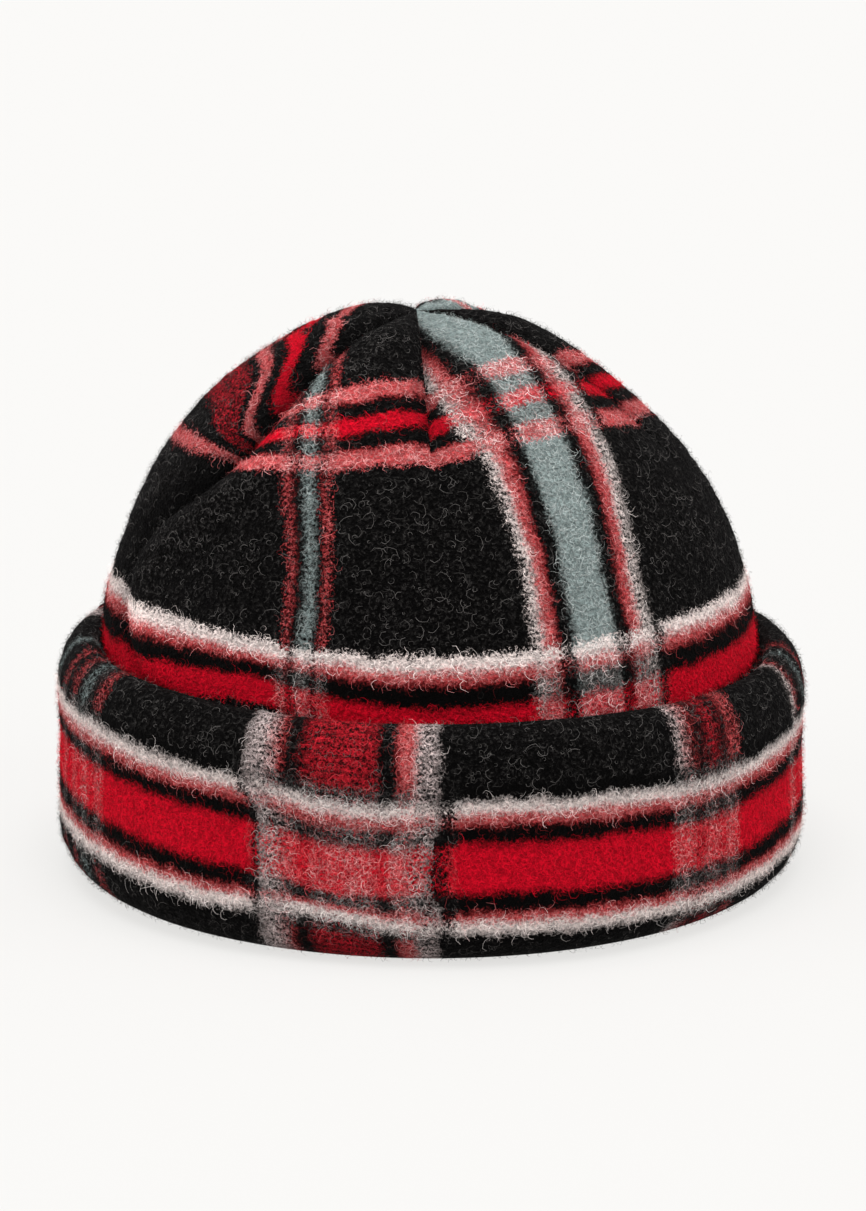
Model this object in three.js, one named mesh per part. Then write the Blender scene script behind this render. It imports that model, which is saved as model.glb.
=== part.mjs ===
// A beanie of thick brushed wool cloth. Its crown is cut as two panels, front and back, each shaped by two
// darts and sewn to the other along full-length side seams that meet at the apex. Its cuff is a separate
// band, folded double and turned up, whose foot turns in under the crown's hem.
//
// Millimetres, +Z up. The front faces -Y. The origin is on the resting plane, under the middle of the cuff.
// Azimuths are in degrees from the front, positive toward +X. A level is a share of the way up the crown,
// along the cloth, from 0 at the hem to 1 at the apex.

import * as THREE from "three";

const CLOTH = 2.5; // thickness of the cloth, its brushed pile included
const GAP = 0.3; // clearance between neighbouring pieces

// The crown: an upright wall up to domeBase and a dome above it, both with oval level sections.
const CROWN = {
  halfWidth: 93,
  halfDepth: 90.2,
  hem: CLOTH + GAP, // height of the lower edge, which stands on the cuff's turned-in foot
  domeBase: 53.4,
  domeRise: 107,
  fullness: 2.07, // exponent of the dome's outline, 2 being an ellipse
  wallShare: 0.244, // level at which the wall becomes the dome
  wallRows: 4,
  domeRows: 14,
  columnsPerSection: 10,
};
const OVERHANG = { height: 78, spread: 10, swell: 1.1 }; // the crown swells a little over the cuff's edge
const LEAN = { from: 56, to: 77, side: -1.2, apex: -4.3 }; // where the lean toward +X begins, and how much
const ALLOWANCE = { depth: 6, fadesBelow: 12 }; // seam allowance turned into the hat, and where it shortens

// The creases that run from the apex toward the hem, in order round the crown. A seam joins the two panels
// and a dart is sewn within one. hem and apex are its azimuths there, and sway is how far it drifts from
// the straight way between them. depth is how deep the crease lies, and before and after are how far its
// slopes reach on either side. bulge is how far the cloth after it swells out over it. ends is the level at
// which the crease has died out.
const CREASES = [
  { kind: "seam", hem: -57, apex: -46, sway: -22, depth: 5.5, before: 22, after: 9, bulge: 2.6, ends: 0 },
  { kind: "dart", hem: 4, apex: 2, sway: 0, depth: 2.2, before: 13, after: 13, bulge: 0, ends: 0.57 },
  { kind: "dart", hem: 76, apex: 75, sway: 0, depth: 2.0, before: 14, after: 14, bulge: 0, ends: 0.52 },
  { kind: "seam", hem: 123, apex: 132, sway: 4, depth: 3.2, before: 12, after: 18, bulge: 0.8, ends: 0 },
  { kind: "dart", hem: 182, apex: 183, sway: 0, depth: 2.2, before: 13, after: 13, bulge: 0, ends: 0.57 },
  { kind: "dart", hem: 257, apex: 255, sway: 0, depth: 2.0, before: 14, after: 14, bulge: 0, ends: 0.52 },
];
const SWAY = { level: 0.43, spread: 0.13 }; // where a crease drifts most, and over what part of its way
const BULGE = { middle: 15, spread: 9 }; // where the cloth beside a crease swells most, and how widely
const PUFF = { height: 1.3, ring: 24, spread: 17 }; // how the cloth swells between creases near the apex
const PUCKER_RADIUS = 26; // the creases flatten out within this distance of the apex
const CREASE_FADE = 0.16; // over how much of its way a dart dies out
const UNDER_CUFF = { from: 62, to: 74, share: 0.3 }; // heights over which the cuff presses the creases flat

// Shallow dents in the crown (and swells, with a negative depth), each a soft oval round its middle.
const DENTS = [
  { place: "right shoulder", azimuth: 106, level: 0.67, depth: 1.8, degrees: 30, levels: 0.11 },
  { place: "right side", azimuth: 98, level: 0.43, depth: -0.8, degrees: 30, levels: 0.09 },
  { place: "below the front dart", azimuth: 4, level: 0.54, depth: 0.8, degrees: 8, levels: 0.06 },
  { place: "front left", azimuth: -30, level: 0.44, depth: 0.7, degrees: 14, levels: 0.08 },
  { place: "back", azimuth: 208, level: 0.42, depth: 1.2, degrees: 22, levels: 0.1 },
];

// The middle line of the cuff's cloth, from the foot of its inner ply, over the roll along its top and down
// its outer ply to the foot that turns in under the crown. out is measured from the crown's wall.
const CUFF_LINE = [
  { place: "inner ply foot", out: 1.65, height: 3 },
  { place: "inner ply", out: 1.65, height: 27 },
  { place: "inner ply neck", out: 1.7, height: 53 },
  { place: "roll inside", out: 2.2, height: 60.6 },
  { place: "roll crest inside", out: 3.6, height: 64 },
  { place: "roll crest", out: 6.2, height: 64.8 },
  { place: "roll crest outside", out: 9.2, height: 62.7 },
  { place: "roll shoulder", out: 11.6, height: 58.6 },
  { place: "roll outside", out: 12.8, height: 52 },
  { place: "outer ply hollow", out: 12.2, height: 41 },
  { place: "outer ply", out: 12.5, height: 28 },
  { place: "outer ply swell", out: 12.9, height: 16 },
  { place: "turn side", out: 11.9, height: 9.2 },
  { place: "turn", out: 8.9, height: 4.5 },
  { place: "turn under", out: 5.2, height: 1.95 },
  { place: "foot start", out: 2, height: CLOTH / 2 },
  { place: "foot", out: 0, height: CLOTH / 2 },
  { place: "foot end", out: -CLOTH, height: CLOTH / 2 },
];
const CUFF_COLUMNS = 64;

// Slow waves round the cuff: how many of them, how high, and where the first crest is.
const ROLL_WAVES = [
  { count: 1, height: 1.6, crest: -60 },
  { count: 5, height: 0.35, crest: 20 },
];
const SIDE_WAVES = [
  { count: 1, height: 0.3, crest: -90 },
  { count: 4, height: 0.4, crest: 30 },
  { count: 6, height: 0.3, crest: 75 },
];
const BAND_JOIN = { azimuth: 180, depth: 1.2, spread: 3.5 }; // the upright seam that closes the cuff's band
const PRESSED_BELOW = 12; // height below which the cuff's side waves die out toward the resting plane

const RADIANS = Math.PI / 180;

/** Goes from 0 at low to 1 at high with level ends. */
function ease(low, high, value) {
  return THREE.MathUtils.smoothstep(value, low, high);
}

/** A hump of height 1 at 0 that dies out past spread. */
function hump(distance, spread) {
  return Math.exp(-((distance / spread) ** 2));
}

/** The difference between two azimuths in degrees, from -180 to 180. */
function turnBetween(azimuth, other) {
  return THREE.MathUtils.euclideanModulo(azimuth - other + 180, 360) - 180;
}

/** The level direction in which azimuths grow. */
function alongRing(azimuth) {
  return new THREE.Vector3(Math.cos(azimuth * RADIANS), Math.sin(azimuth * RADIANS), 0);
}

/** A point at an azimuth of a level oval round the Z axis, and the oval's outward normal there. */
function ovalPoint(azimuth, halfWidth, halfDepth, height) {
  const across = Math.sin(azimuth * RADIANS);
  const along = -Math.cos(azimuth * RADIANS);
  return {
    point: new THREE.Vector3(halfWidth * across, halfDepth * along, height),
    normal: new THREE.Vector3(across / halfWidth, along / halfDepth, 0).normalize(),
  };
}

/** The crown's plain surface, before its creases: a point, its outward normal and its ring's half width. */
function crownBase(azimuth, level) {
  const { halfWidth, halfDepth, hem, domeBase, domeRise, fullness, wallShare } = CROWN;
  if (level <= wallShare) {
    const height = THREE.MathUtils.lerp(hem, domeBase, level / wallShare);
    return { ...ovalPoint(azimuth, halfWidth, halfDepth, height), ring: halfWidth };
  }
  const climb = ((level - wallShare) / (1 - wallShare)) * (Math.PI / 2);
  const shrink = Math.max(Math.cos(climb), 0) ** (2 / fullness);
  const rise = Math.sin(climb) ** (2 / fullness);
  const { point } = ovalPoint(azimuth, halfWidth * shrink, halfDepth * shrink, domeBase + domeRise * rise);
  const normal = ovalPoint(azimuth, halfWidth, halfDepth, 0).normal;
  normal.multiplyScalar(shrink ** (fullness - 1) / halfWidth).setZ(rise ** (fullness - 1) / domeRise);
  return { point, normal: normal.normalize(), ring: halfWidth * shrink };
}

/** How far the crown leans toward +X at a height. */
function leanAt(height) {
  const climb = Math.max(0, (height - CROWN.domeBase) / CROWN.domeRise);
  return ease(LEAN.from, LEAN.to, height) * LEAN.side + climb ** 3 * (LEAN.apex - LEAN.side);
}

/** The azimuth of a crease at a level. */
function creaseAzimuth(crease, level) {
  const straight = THREE.MathUtils.lerp(crease.hem, crease.apex, ease(0, 0.8, level));
  return straight + crease.sway * hump(level - SWAY.level, SWAY.spread);
}

/** How far a slope of the given reach has risen out of a crease's bottom, from 1 at the bottom to 0. */
function slope(distance, reach) {
  return Math.max(0, 1 - distance / Math.max(reach, 0.01)) ** 2;
}

/** How deep the crown's dents are together at an azimuth and level. */
function dentAt(azimuth, level) {
  return DENTS.reduce((sum, dent) => {
    const along = hump(turnBetween(azimuth, dent.azimuth), dent.degrees);
    return sum + dent.depth * along * hump(level - dent.level, dent.levels);
  }, 0);
}

/** A point on the crown's outer face between two creases, with its normal, azimuth and section's width. */
function crownPoint(first, second, share, level) {
  const from = creaseAzimuth(first, level);
  const to = creaseAzimuth(second, level);
  const azimuth = THREE.MathUtils.lerp(from, to, share);
  const { point, normal, ring } = crownBase(azimuth, level);
  const width = (to - from) * RADIANS * ring;
  const nearApex = Math.min(1, ring / PUCKER_RADIUS);
  const clearOfCuff = ease(UNDER_CUFF.from, UNDER_CUFF.to, point.z);
  const strength = ({ ends }) => {
    const dying = ends > 0 ? ease(ends, ends + CREASE_FADE, level) : 1;
    return nearApex * dying * THREE.MathUtils.lerp(UNDER_CUFF.share, 1, clearOfCuff);
  };
  const sink = first.depth * strength(first) * slope(width * share, Math.min(first.after, 0.45 * width))
    + second.depth * strength(second) * slope(width * (1 - share), Math.min(second.before, 0.45 * width));
  const bulge = first.bulge * hump(width * share - BULGE.middle, BULGE.spread) * clearOfCuff;
  const puff = PUFF.height * hump(ring - PUFF.ring, PUFF.spread) * Math.sin(Math.PI * share);
  const overhang = OVERHANG.swell * hump(point.z - OVERHANG.height, OVERHANG.spread);
  point.addScaledVector(normal, overhang + nearApex * (bulge + puff) - sink - dentAt(azimuth, level));
  point.x += leanAt(point.z);
  return { point, normal, azimuth, width };
}

/** Collects one closed surface, leaving out the triangles that a shared corner collapses. */
class Surface {
  constructor() {
    this.positions = [];
    this.indices = [];
    this.known = new Map();
  }

  /** The index of a point, the same for points that coincide. */
  corner(point) {
    const key = point.toArray().map((value) => Math.round(value * 1e4)).join(" ");
    if (!this.known.has(key)) {
      this.known.set(key, this.positions.length / 3);
      this.positions.push(...point.toArray());
    }
    return this.known.get(key);
  }

  /** Adds a four-sided face whose corners run anticlockwise seen from outside. */
  quad(a, b, c, d) {
    [[a, b, c], [a, c, d]].forEach((triangle) => {
      const corners = triangle.map((point) => this.corner(point));
      if (new Set(corners).size === 3) {
        this.indices.push(...corners);
      }
    });
  }

  /** Joins two loops of equally many points with a band of faces. */
  band(lower, upper) {
    lower.forEach((point, at) => {
      const next = (at + 1) % lower.length;
      this.quad(point, lower[next], upper[next], upper[at]);
    });
  }

  geometry() {
    const geometry = new THREE.BufferGeometry();
    geometry.setAttribute("position", new THREE.Float32BufferAttribute(this.positions, 3));
    geometry.setIndex(this.indices);
    geometry.computeVertexNormals();
    return geometry;
  }
}

/** Shares from 0 to 1 that crowd together toward both ends, where the creases are. */
function crowdedShares(count) {
  return Array.from({ length: count + 1 }, (_, step) => {
    const even = step / count;
    return THREE.MathUtils.lerp(even, (1 - Math.cos(Math.PI * even)) / 2, 0.75);
  });
}

/** The corners where a panel's sewn edge turns into the hat as its seam allowance. */
function panelEdge(column, away, thickness) {
  const standing = CLOTH + ease(0, ALLOWANCE.fadesBelow, column.width) * ALLOWANCE.depth;
  const at = (depth, inset) => column.point.clone()
    .addScaledVector(column.normal, -depth)
    .addScaledVector(away, inset);
  return {
    outer: at(0, GAP / 2),
    tip: at(standing, GAP / 2),
    root: at(standing, GAP / 2 + thickness),
    inner: at(CLOTH, GAP / 2 + thickness),
  };
}

/** One ring of a panel: its outer and inner faces and the two edges where it is sewn to the other panel. */
function panelRing(creases, level) {
  const shares = crowdedShares(CROWN.columnsPerSection);
  const columns = creases.slice(1).flatMap((second, index) => {
    const isLast = index === creases.length - 2;
    const kept = isLast ? shares : shares.slice(0, -1);
    return kept.map((share) => crownPoint(creases[index], second, share, level));
  });
  const first = columns[0];
  const last = columns.at(-1);
  const middle = (creases[0].apex + creases.at(-1).apex) / 2;
  const off = alongRing(middle - 90); // from the apex toward the panel's middle
  const atApex = level === 1;
  const thickness = (column) => (atApex ? 0 : Math.min(CLOTH, 0.6 * shares[1] * column.width));
  const near = panelEdge(first, atApex ? off : alongRing(first.azimuth), thickness(first));
  const far = panelEdge(last, atApex ? off : alongRing(last.azimuth).negate(), thickness(last));
  const between = columns.slice(1, -1).map(({ point, normal }) => {
    const outer = atApex ? point.clone().addScaledVector(off, GAP / 2) : point;
    return { outer, inner: outer.clone().addScaledVector(normal, -CLOTH) };
  });
  return {
    near,
    far,
    outer: [near.outer, ...between.map(({ outer }) => outer), far.outer],
    inner: [near.inner, ...between.map(({ inner }) => inner), far.inner],
  };
}

/** Levels from the hem to the apex, even along the wall and along the dome. */
function crownLevels() {
  const { wallShare, wallRows, domeRows } = CROWN;
  const wall = Array.from({ length: wallRows }, (_, row) => (wallShare * row) / wallRows);
  const climb = (1 - wallShare) / domeRows;
  const dome = Array.from({ length: domeRows + 1 }, (_, row) => wallShare + climb * row);
  return [...wall, ...dome];
}

/** A closed crown panel between two side seams, its hem level and its allowances turned into the hat. */
function panelGeometry(creases) {
  const rings = crownLevels().map((level) => panelRing(creases, level));
  const loops = rings.map(({ near, far, outer, inner }) => (
    [...outer, far.tip, far.root, ...inner.toReversed(), near.root, near.tip]
  ));
  const surface = new Surface();
  loops.slice(1).forEach((upper, index) => surface.band(loops[index], upper));
  const { near, far, outer, inner } = rings[0];
  outer.slice(1).forEach((point, at) => surface.quad(outer[at], inner[at], inner[at + 1], point));
  surface.quad(near.outer, near.tip, near.root, near.inner);
  surface.quad(far.outer, far.inner, far.root, far.tip);
  return surface.geometry();
}

/** The sum of some waves round the hat at an azimuth. */
function waveAt(waves, azimuth) {
  return waves.reduce((sum, { count, height, crest }) => (
    sum + height * Math.cos(count * (azimuth - crest) * RADIANS)
  ), 0);
}

/** The loop round the cuff's cloth at an azimuth, over its outer side and back along its inner side. */
function cuffLoop(azimuth) {
  const wall = ovalPoint(azimuth, CROWN.halfWidth, CROWN.halfDepth, 0);
  const crest = CUFF_LINE.find(({ place }) => place === "roll crest");
  const join = BAND_JOIN.depth * hump(turnBetween(azimuth, BAND_JOIN.azimuth), BAND_JOIN.spread);
  const line = CUFF_LINE.map(({ out, height }) => {
    const free = ease(0, PRESSED_BELOW, height) * ease(CLOTH, crest.out, out);
    const lift = ease(0, crest.height, height) * ease(0, CLOTH, out);
    return new THREE.Vector2(
      out + free * (waveAt(SIDE_WAVES, azimuth) - join),
      height + lift * waveAt(ROLL_WAVES, azimuth),
    );
  });
  const side = (sign) => line.map((point, at) => {
    const way = line[Math.min(at + 1, line.length - 1)].clone().sub(line[Math.max(at - 1, 0)]).normalize();
    const out = point.x - (sign * way.y * CLOTH) / 2;
    const height = point.y + (sign * way.x * CLOTH) / 2;
    return wall.point.clone().addScaledVector(wall.normal, out).setZ(height);
  });
  return [...side(1), ...side(-1).toReversed()];
}

/** The closed ring of the cuff. */
function cuffGeometry() {
  const azimuths = Array.from({ length: CUFF_COLUMNS }, (_, column) => (360 * column) / CUFF_COLUMNS);
  const loops = azimuths.map(cuffLoop);
  const surface = new Surface();
  loops.forEach((loop, column) => surface.band(loop, loops[(column + 1) % loops.length]));
  return surface.geometry();
}

/** A named piece of the hat in its own cloth colour. */
function piece(name, geometry, color) {
  const material = new THREE.MeshStandardMaterial({ color, roughness: 0.95, metalness: 0 });
  const mesh = new THREE.Mesh(geometry, material);
  mesh.name = name;
  return mesh;
}

const BLACK_GROUND = 0x262324;
const RED_STRIPE = 0xa81a2a;

const [leftSeam] = CREASES;
const leftSeamAgain = { ...leftSeam, hem: leftSeam.hem + 360, apex: leftSeam.apex + 360 };
const frontCreases = CREASES.slice(0, 4);
const backCreases = [...CREASES.slice(3), leftSeamAgain];

const beanie = new THREE.Group();
beanie.add(
  piece("crown_front_panel", panelGeometry(frontCreases), BLACK_GROUND),
  piece("crown_back_panel", panelGeometry(backCreases), BLACK_GROUND),
  piece("cuff_band", cuffGeometry(), RED_STRIPE),
);

export default beanie;
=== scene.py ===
"""A beanie of thick brushed wool plaid: a crown of two darted panels and a deep double cuff turned up."""

import logging
import math
from dataclasses import dataclass
from enum import Enum
from typing import Any, Callable, Sequence

import bpy
import numpy as np
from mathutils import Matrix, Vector, noise

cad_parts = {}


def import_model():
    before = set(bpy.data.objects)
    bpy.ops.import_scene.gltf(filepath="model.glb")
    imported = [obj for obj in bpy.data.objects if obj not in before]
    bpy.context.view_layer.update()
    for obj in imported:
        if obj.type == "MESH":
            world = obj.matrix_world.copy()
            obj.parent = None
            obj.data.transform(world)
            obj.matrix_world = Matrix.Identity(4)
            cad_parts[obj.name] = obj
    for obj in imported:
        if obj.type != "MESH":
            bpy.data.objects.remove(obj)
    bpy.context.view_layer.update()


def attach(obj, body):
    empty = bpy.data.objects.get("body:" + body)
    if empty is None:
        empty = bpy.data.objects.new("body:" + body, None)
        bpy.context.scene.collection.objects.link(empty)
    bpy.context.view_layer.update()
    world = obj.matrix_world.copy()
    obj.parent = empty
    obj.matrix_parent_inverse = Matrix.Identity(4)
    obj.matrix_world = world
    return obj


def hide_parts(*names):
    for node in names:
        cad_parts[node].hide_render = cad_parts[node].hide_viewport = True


LOG = logging.getLogger("beanie")
MM = 0.001  # the sizes below are in millimetres, and the scene is in metres
CLOTH = 2.5  # thickness of the cloth
GAP = 0.3  # clearance between the two panels' sewn edges
NAP_RISE = 0.34  # height of the nap's broad clumps
TUFT_RISE = 0.32  # height of its fine tufts
NOISE_ROUGHNESS = 0.55
LEAST_HEIGHT = 0.0002  # how near the floor a hair comes, in metres
TOUCHING = 0.01  # stripes no further apart than this meet
FABRIC = "Fabric"  # the map that says which part of the woven cloth each point is
BAKE = "OFBake"  # the map that the finishes are baked on

Array = np.ndarray
Sockets = dict[str | int, Any] | None


def ease(low: float, high: float, value: Array | float) -> Array:
    """Goes from 0 at low to 1 at high with level ends."""
    share = np.clip((np.asarray(value, float) - low) / (high - low), 0.0, 1.0)
    return share * share * (3.0 - 2.0 * share)


def hump(distance: Array | float, spread: float) -> Array:
    """A hump of height 1 at 0 that dies out past spread."""
    return np.exp(-((np.asarray(distance, float) / spread) ** 2))


def turn_between(azimuth: Array, other: float) -> Array:
    """The difference between two azimuths in degrees, from -180 to 180."""
    return np.mod(azimuth - other + 180.0, 360.0) - 180.0


def unit(vectors: Array) -> Array:
    """The same vectors with a length of 1."""
    return vectors / np.maximum(np.linalg.norm(vectors, axis=-1, keepdims=True), 1e-9)


def outward_at(azimuth: Array | float) -> tuple[Array, Array]:
    """How far along X and Y the way out goes at an azimuth in degrees from the front, positive toward +X."""
    return np.sin(np.radians(azimuth)), -np.cos(np.radians(azimuth))


# ---------------------------------------------------------------- yarns and weave


class Yarn(Enum):
    """The dyed yarns, each with its linear colour."""

    BLACK = (0.0016, 0.0013, 0.0013)
    RED = (0.66, 0.0030, 0.018)
    PINK = (0.58, 0.042, 0.048)
    ROSE = (0.56, 0.013, 0.026)
    WHITE = (0.93, 0.78, 0.74)
    GREY = (0.78, 0.61, 0.59)
    SLATE = (0.245, 0.312, 0.305)


@dataclass(frozen=True)
class Stripe:
    """A stripe of one yarn in the warp or the weft.

    cover is how much of the black ground it hides, and hold is how much of it still shows where a stripe
    of the other direction crosses it.
    """

    start: float
    end: float
    yarn: Yarn
    cover: float = 0.95
    hold: float = 0.25


@dataclass(frozen=True)
class Plaid:
    """The stripes of one piece of cloth, over a span of millimetres on each way."""

    warp: tuple[Stripe, ...]
    weft: tuple[Stripe, ...]
    warp_span: tuple[float, float]
    weft_span: tuple[float, float]


def stripes(*rows: tuple) -> tuple[Stripe, ...]:
    """Stripes from rows of start, end, yarn, cover and hold."""
    return tuple(Stripe(*row) for row in rows)


def broad_group(start: float) -> list[tuple]:
    """A rose stripe between pink and grey ones.

    Args:
        start: Where the group starts, in millimetres.

    Returns:
        The group's rows of stripes.
    """
    rows = []
    for width, *dyed in (
        (4.0, Yarn.BLACK, 0.85, 0.78),
        (6.0, Yarn.GREY, 0.62, 0.50),
        (4.0, Yarn.PINK, 0.66, 0.30),
        (6.0, Yarn.BLACK, 0.60, 0.25),
        (20.0, Yarn.ROSE, 0.74, 0.25),
        (6.0, Yarn.BLACK, 0.60, 0.25),
        (4.0, Yarn.PINK, 0.66, 0.30),
        (6.0, Yarn.GREY, 0.62, 0.50),
        (4.0, Yarn.BLACK, 0.85, 0.78),
    ):
        rows.append((start, start + width, *dyed))
        start += width
    return rows


def narrow_group(start: float) -> list[tuple]:
    """A slate stripe between two pink ones.

    Args:
        start: Where the group starts, in millimetres.

    Returns:
        The group's rows of stripes.
    """
    return [
        (start, start + 4.0, Yarn.PINK, 0.60, 0.30),
        (start + 9.0, start + 14.0, Yarn.SLATE, 0.50, 0.20),
        (start + 19.0, start + 23.0, Yarn.PINK, 0.60, 0.30),
    ]


FRONT_PLAID = Plaid(
    warp=stripes(
        (-43.0, -40.2, Yarn.PINK, 0.60, 0.30),
        (-40.2, -36.6, Yarn.BLACK, 0.60, 0.55),
        (-36.6, -33.2, Yarn.SLATE, 0.70, 0.12),
        (-33.2, -30.9, Yarn.BLACK, 0.60, 0.55),
        (-30.9, -28.3, Yarn.PINK, 0.58, 0.30),
        (29.6, 32.7, Yarn.WHITE, 0.66, 0.45),
        (32.7, 37.0, Yarn.PINK, 0.86, 0.30),
        (37.0, 42.6, Yarn.BLACK, 0.80, 0.75),
        (42.6, 55.4, Yarn.SLATE, 1.05, 0.12),
        (55.4, 61.0, Yarn.BLACK, 0.80, 0.60),
        (61.0, 65.2, Yarn.PINK, 0.86, 0.30),
        (65.2, 68.6, Yarn.WHITE, 0.60, 0.45),
        (68.6, 73.0, Yarn.BLACK, 0.80, 0.75),
    ),
    weft=stripes(
        (43.2, 49.6, Yarn.PINK, 0.97),
        (49.6, 55.6, Yarn.BLACK, 0.40),
        (55.6, 61.8, Yarn.RED, 0.92),
        (61.8, 68.4, Yarn.BLACK, 0.40),
        (68.4, 75.2, Yarn.PINK, 0.97),
        (130.0, 133.4, Yarn.WHITE, 1.05),
        (133.4, 136.6, Yarn.PINK, 1.0),
        (136.6, 143.0, Yarn.BLACK, 1.0),
        (143.0, 152.0, Yarn.RED, 1.05),
        (156.0, 160.0, Yarn.PINK, 0.97),
        (160.0, 164.0, Yarn.WHITE, 0.97),
    ),
    warp_span=(-60.0, 180.0),
    weft_span=(0.0, 220.0),
)
BACK_PLAID = Plaid(
    warp=stripes(
        (222.0, 225.0, Yarn.WHITE, 0.66, 0.45),
        (225.0, 229.0, Yarn.PINK, 0.86, 0.30),
        (229.0, 234.0, Yarn.BLACK, 0.80, 0.75),
        (234.0, 247.0, Yarn.SLATE, 1.05, 0.12),
        (247.0, 252.0, Yarn.BLACK, 0.80, 0.60),
        (252.0, 256.0, Yarn.PINK, 0.86, 0.30),
        (256.0, 259.0, Yarn.WHITE, 0.60, 0.45),
        (326.0, 330.0, Yarn.PINK, 0.60, 0.30),
        (330.0, 333.0, Yarn.BLACK, 0.60, 0.55),
        (333.0, 336.6, Yarn.SLATE, 0.62, 0.12),
        (336.6, 338.4, Yarn.BLACK, 0.60, 0.55),
        (338.4, 342.0, Yarn.PINK, 0.60, 0.30),
    ),
    weft=stripes(
        (21.6, 26.4, Yarn.PINK, 0.90),
        (34.4, 39.4, Yarn.RED, 1.0),
        (45.6, 50.2, Yarn.PINK, 0.84),
        (54.0, 69.0, Yarn.ROSE, 0.36),
        (77.4, 82.0, Yarn.PINK, 0.82),
        (130.0, 133.4, Yarn.WHITE, 1.05),
        (133.4, 136.8, Yarn.PINK, 1.0),
        (136.8, 144.0, Yarn.BLACK, 0.90),
        (144.0, 156.0, Yarn.RED, 1.05),
    ),
    warp_span=(180.0, 480.0),
    weft_span=(0.0, 220.0),
)
CUFF_PLAID = Plaid(
    warp=stripes(
        *narrow_group(-318.0),
        *broad_group(-242.0),
        (-158.0, -152.0, Yarn.SLATE, 0.50, 0.20),
        (-141.0, -137.6, Yarn.PINK, 0.60, 0.30),
        (-130.0, -126.6, Yarn.PINK, 0.60, 0.30),
        (-122.0, -117.0, Yarn.SLATE, 0.50, 0.20),
        (-112.0, -108.4, Yarn.PINK, 0.66, 0.30),
        (-55.0, -50.8, Yarn.BLACK, 0.85, 0.78),
        (-50.8, -45.0, Yarn.GREY, 0.62, 0.55),
        (-45.0, -41.0, Yarn.PINK, 0.55, 0.30),
        (-41.0, -34.8, Yarn.BLACK, 0.60, 0.25),
        (-34.8, -14.6, Yarn.ROSE, 0.62, 0.25),
        (-14.6, -9.2, Yarn.BLACK, 0.60, 0.25),
        (-9.2, -4.0, Yarn.PINK, 0.84, 0.30),
        (-4.0, 1.4, Yarn.GREY, 0.53, 0.50),
        (1.4, 6.2, Yarn.BLACK, 0.85, 0.78),
        (71.0, 74.2, Yarn.GREY, 0.66, 0.20),
        (74.2, 77.6, Yarn.PINK, 0.50, 0.20),
        (77.6, 82.6, Yarn.BLACK, 0.60, 0.40),
        (82.6, 87.6, Yarn.ROSE, 0.50, 0.25),
        (87.6, 91.4, Yarn.BLACK, 0.60, 0.30),
        (91.4, 96.6, Yarn.PINK, 0.62, 0.25),
        (131.0, 134.0, Yarn.WHITE, 0.50, 0.30),
        (134.0, 137.4, Yarn.PINK, 0.50, 0.30),
        (146.0, 149.6, Yarn.SLATE, 0.50, 0.20),
        (155.0, 159.0, Yarn.PINK, 0.50, 0.30),
        *broad_group(196.0),
        *narrow_group(290.0),
    ),
    weft=stripes(
        (17.2, 21.8, Yarn.BLACK, 0.88),
        (21.8, 24.9, Yarn.WHITE, 1.05),
        (24.9, 28.4, Yarn.PINK, 1.0),
        (28.4, 33.7, Yarn.BLACK, 0.92),
        (33.7, 46.9, Yarn.RED, 1.05),
        (46.9, 52.6, Yarn.BLACK, 0.92),
        (52.6, 55.2, Yarn.PINK, 1.0),
        (55.2, 58.4, Yarn.WHITE, 1.05),
        (58.4, 61.8, Yarn.BLACK, 0.88),
    ),
    warp_span=(-340.0, 340.0),
    weft_span=(-90.0, 90.0),
)


# ---------------------------------------------------------------- nodes as expressions


def operator(operation: str, swapped: bool = False) -> Callable[["Value", Any], "Value"]:
    """An arithmetic operator for Value.

    Args:
        operation: The node's operation.
        swapped: Whether it is the operator that Python calls when the Value stands on the right.

    Returns:
        The operator's method.
    """

    def joined(value: "Value", other: Any) -> "Value":
        """The two joined by a node."""
        first, second = (other, value) if swapped else (value, other)
        return value.graph.combine(operation, first, second)

    return joined


class Value:
    """A node's output socket that can stand in a Python expression."""

    __add__, __radd__ = operator("ADD"), operator("ADD", swapped=True)
    __sub__, __rsub__ = operator("SUBTRACT"), operator("SUBTRACT", swapped=True)
    __mul__, __rmul__ = operator("MULTIPLY"), operator("MULTIPLY", swapped=True)
    __truediv__ = operator("DIVIDE")

    def __init__(self, graph: "Graph", socket: Any) -> None:
        """Wraps a socket of a graph."""
        self.graph = graph
        self.socket = socket

    @property
    def is_vector(self) -> bool:
        """Whether the socket carries a vector."""
        return self.socket.type in {"VECTOR", "RGBA"}

    def __abs__(self) -> "Value":
        """The size of self."""
        return self.graph.math("ABSOLUTE", self)


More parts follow.
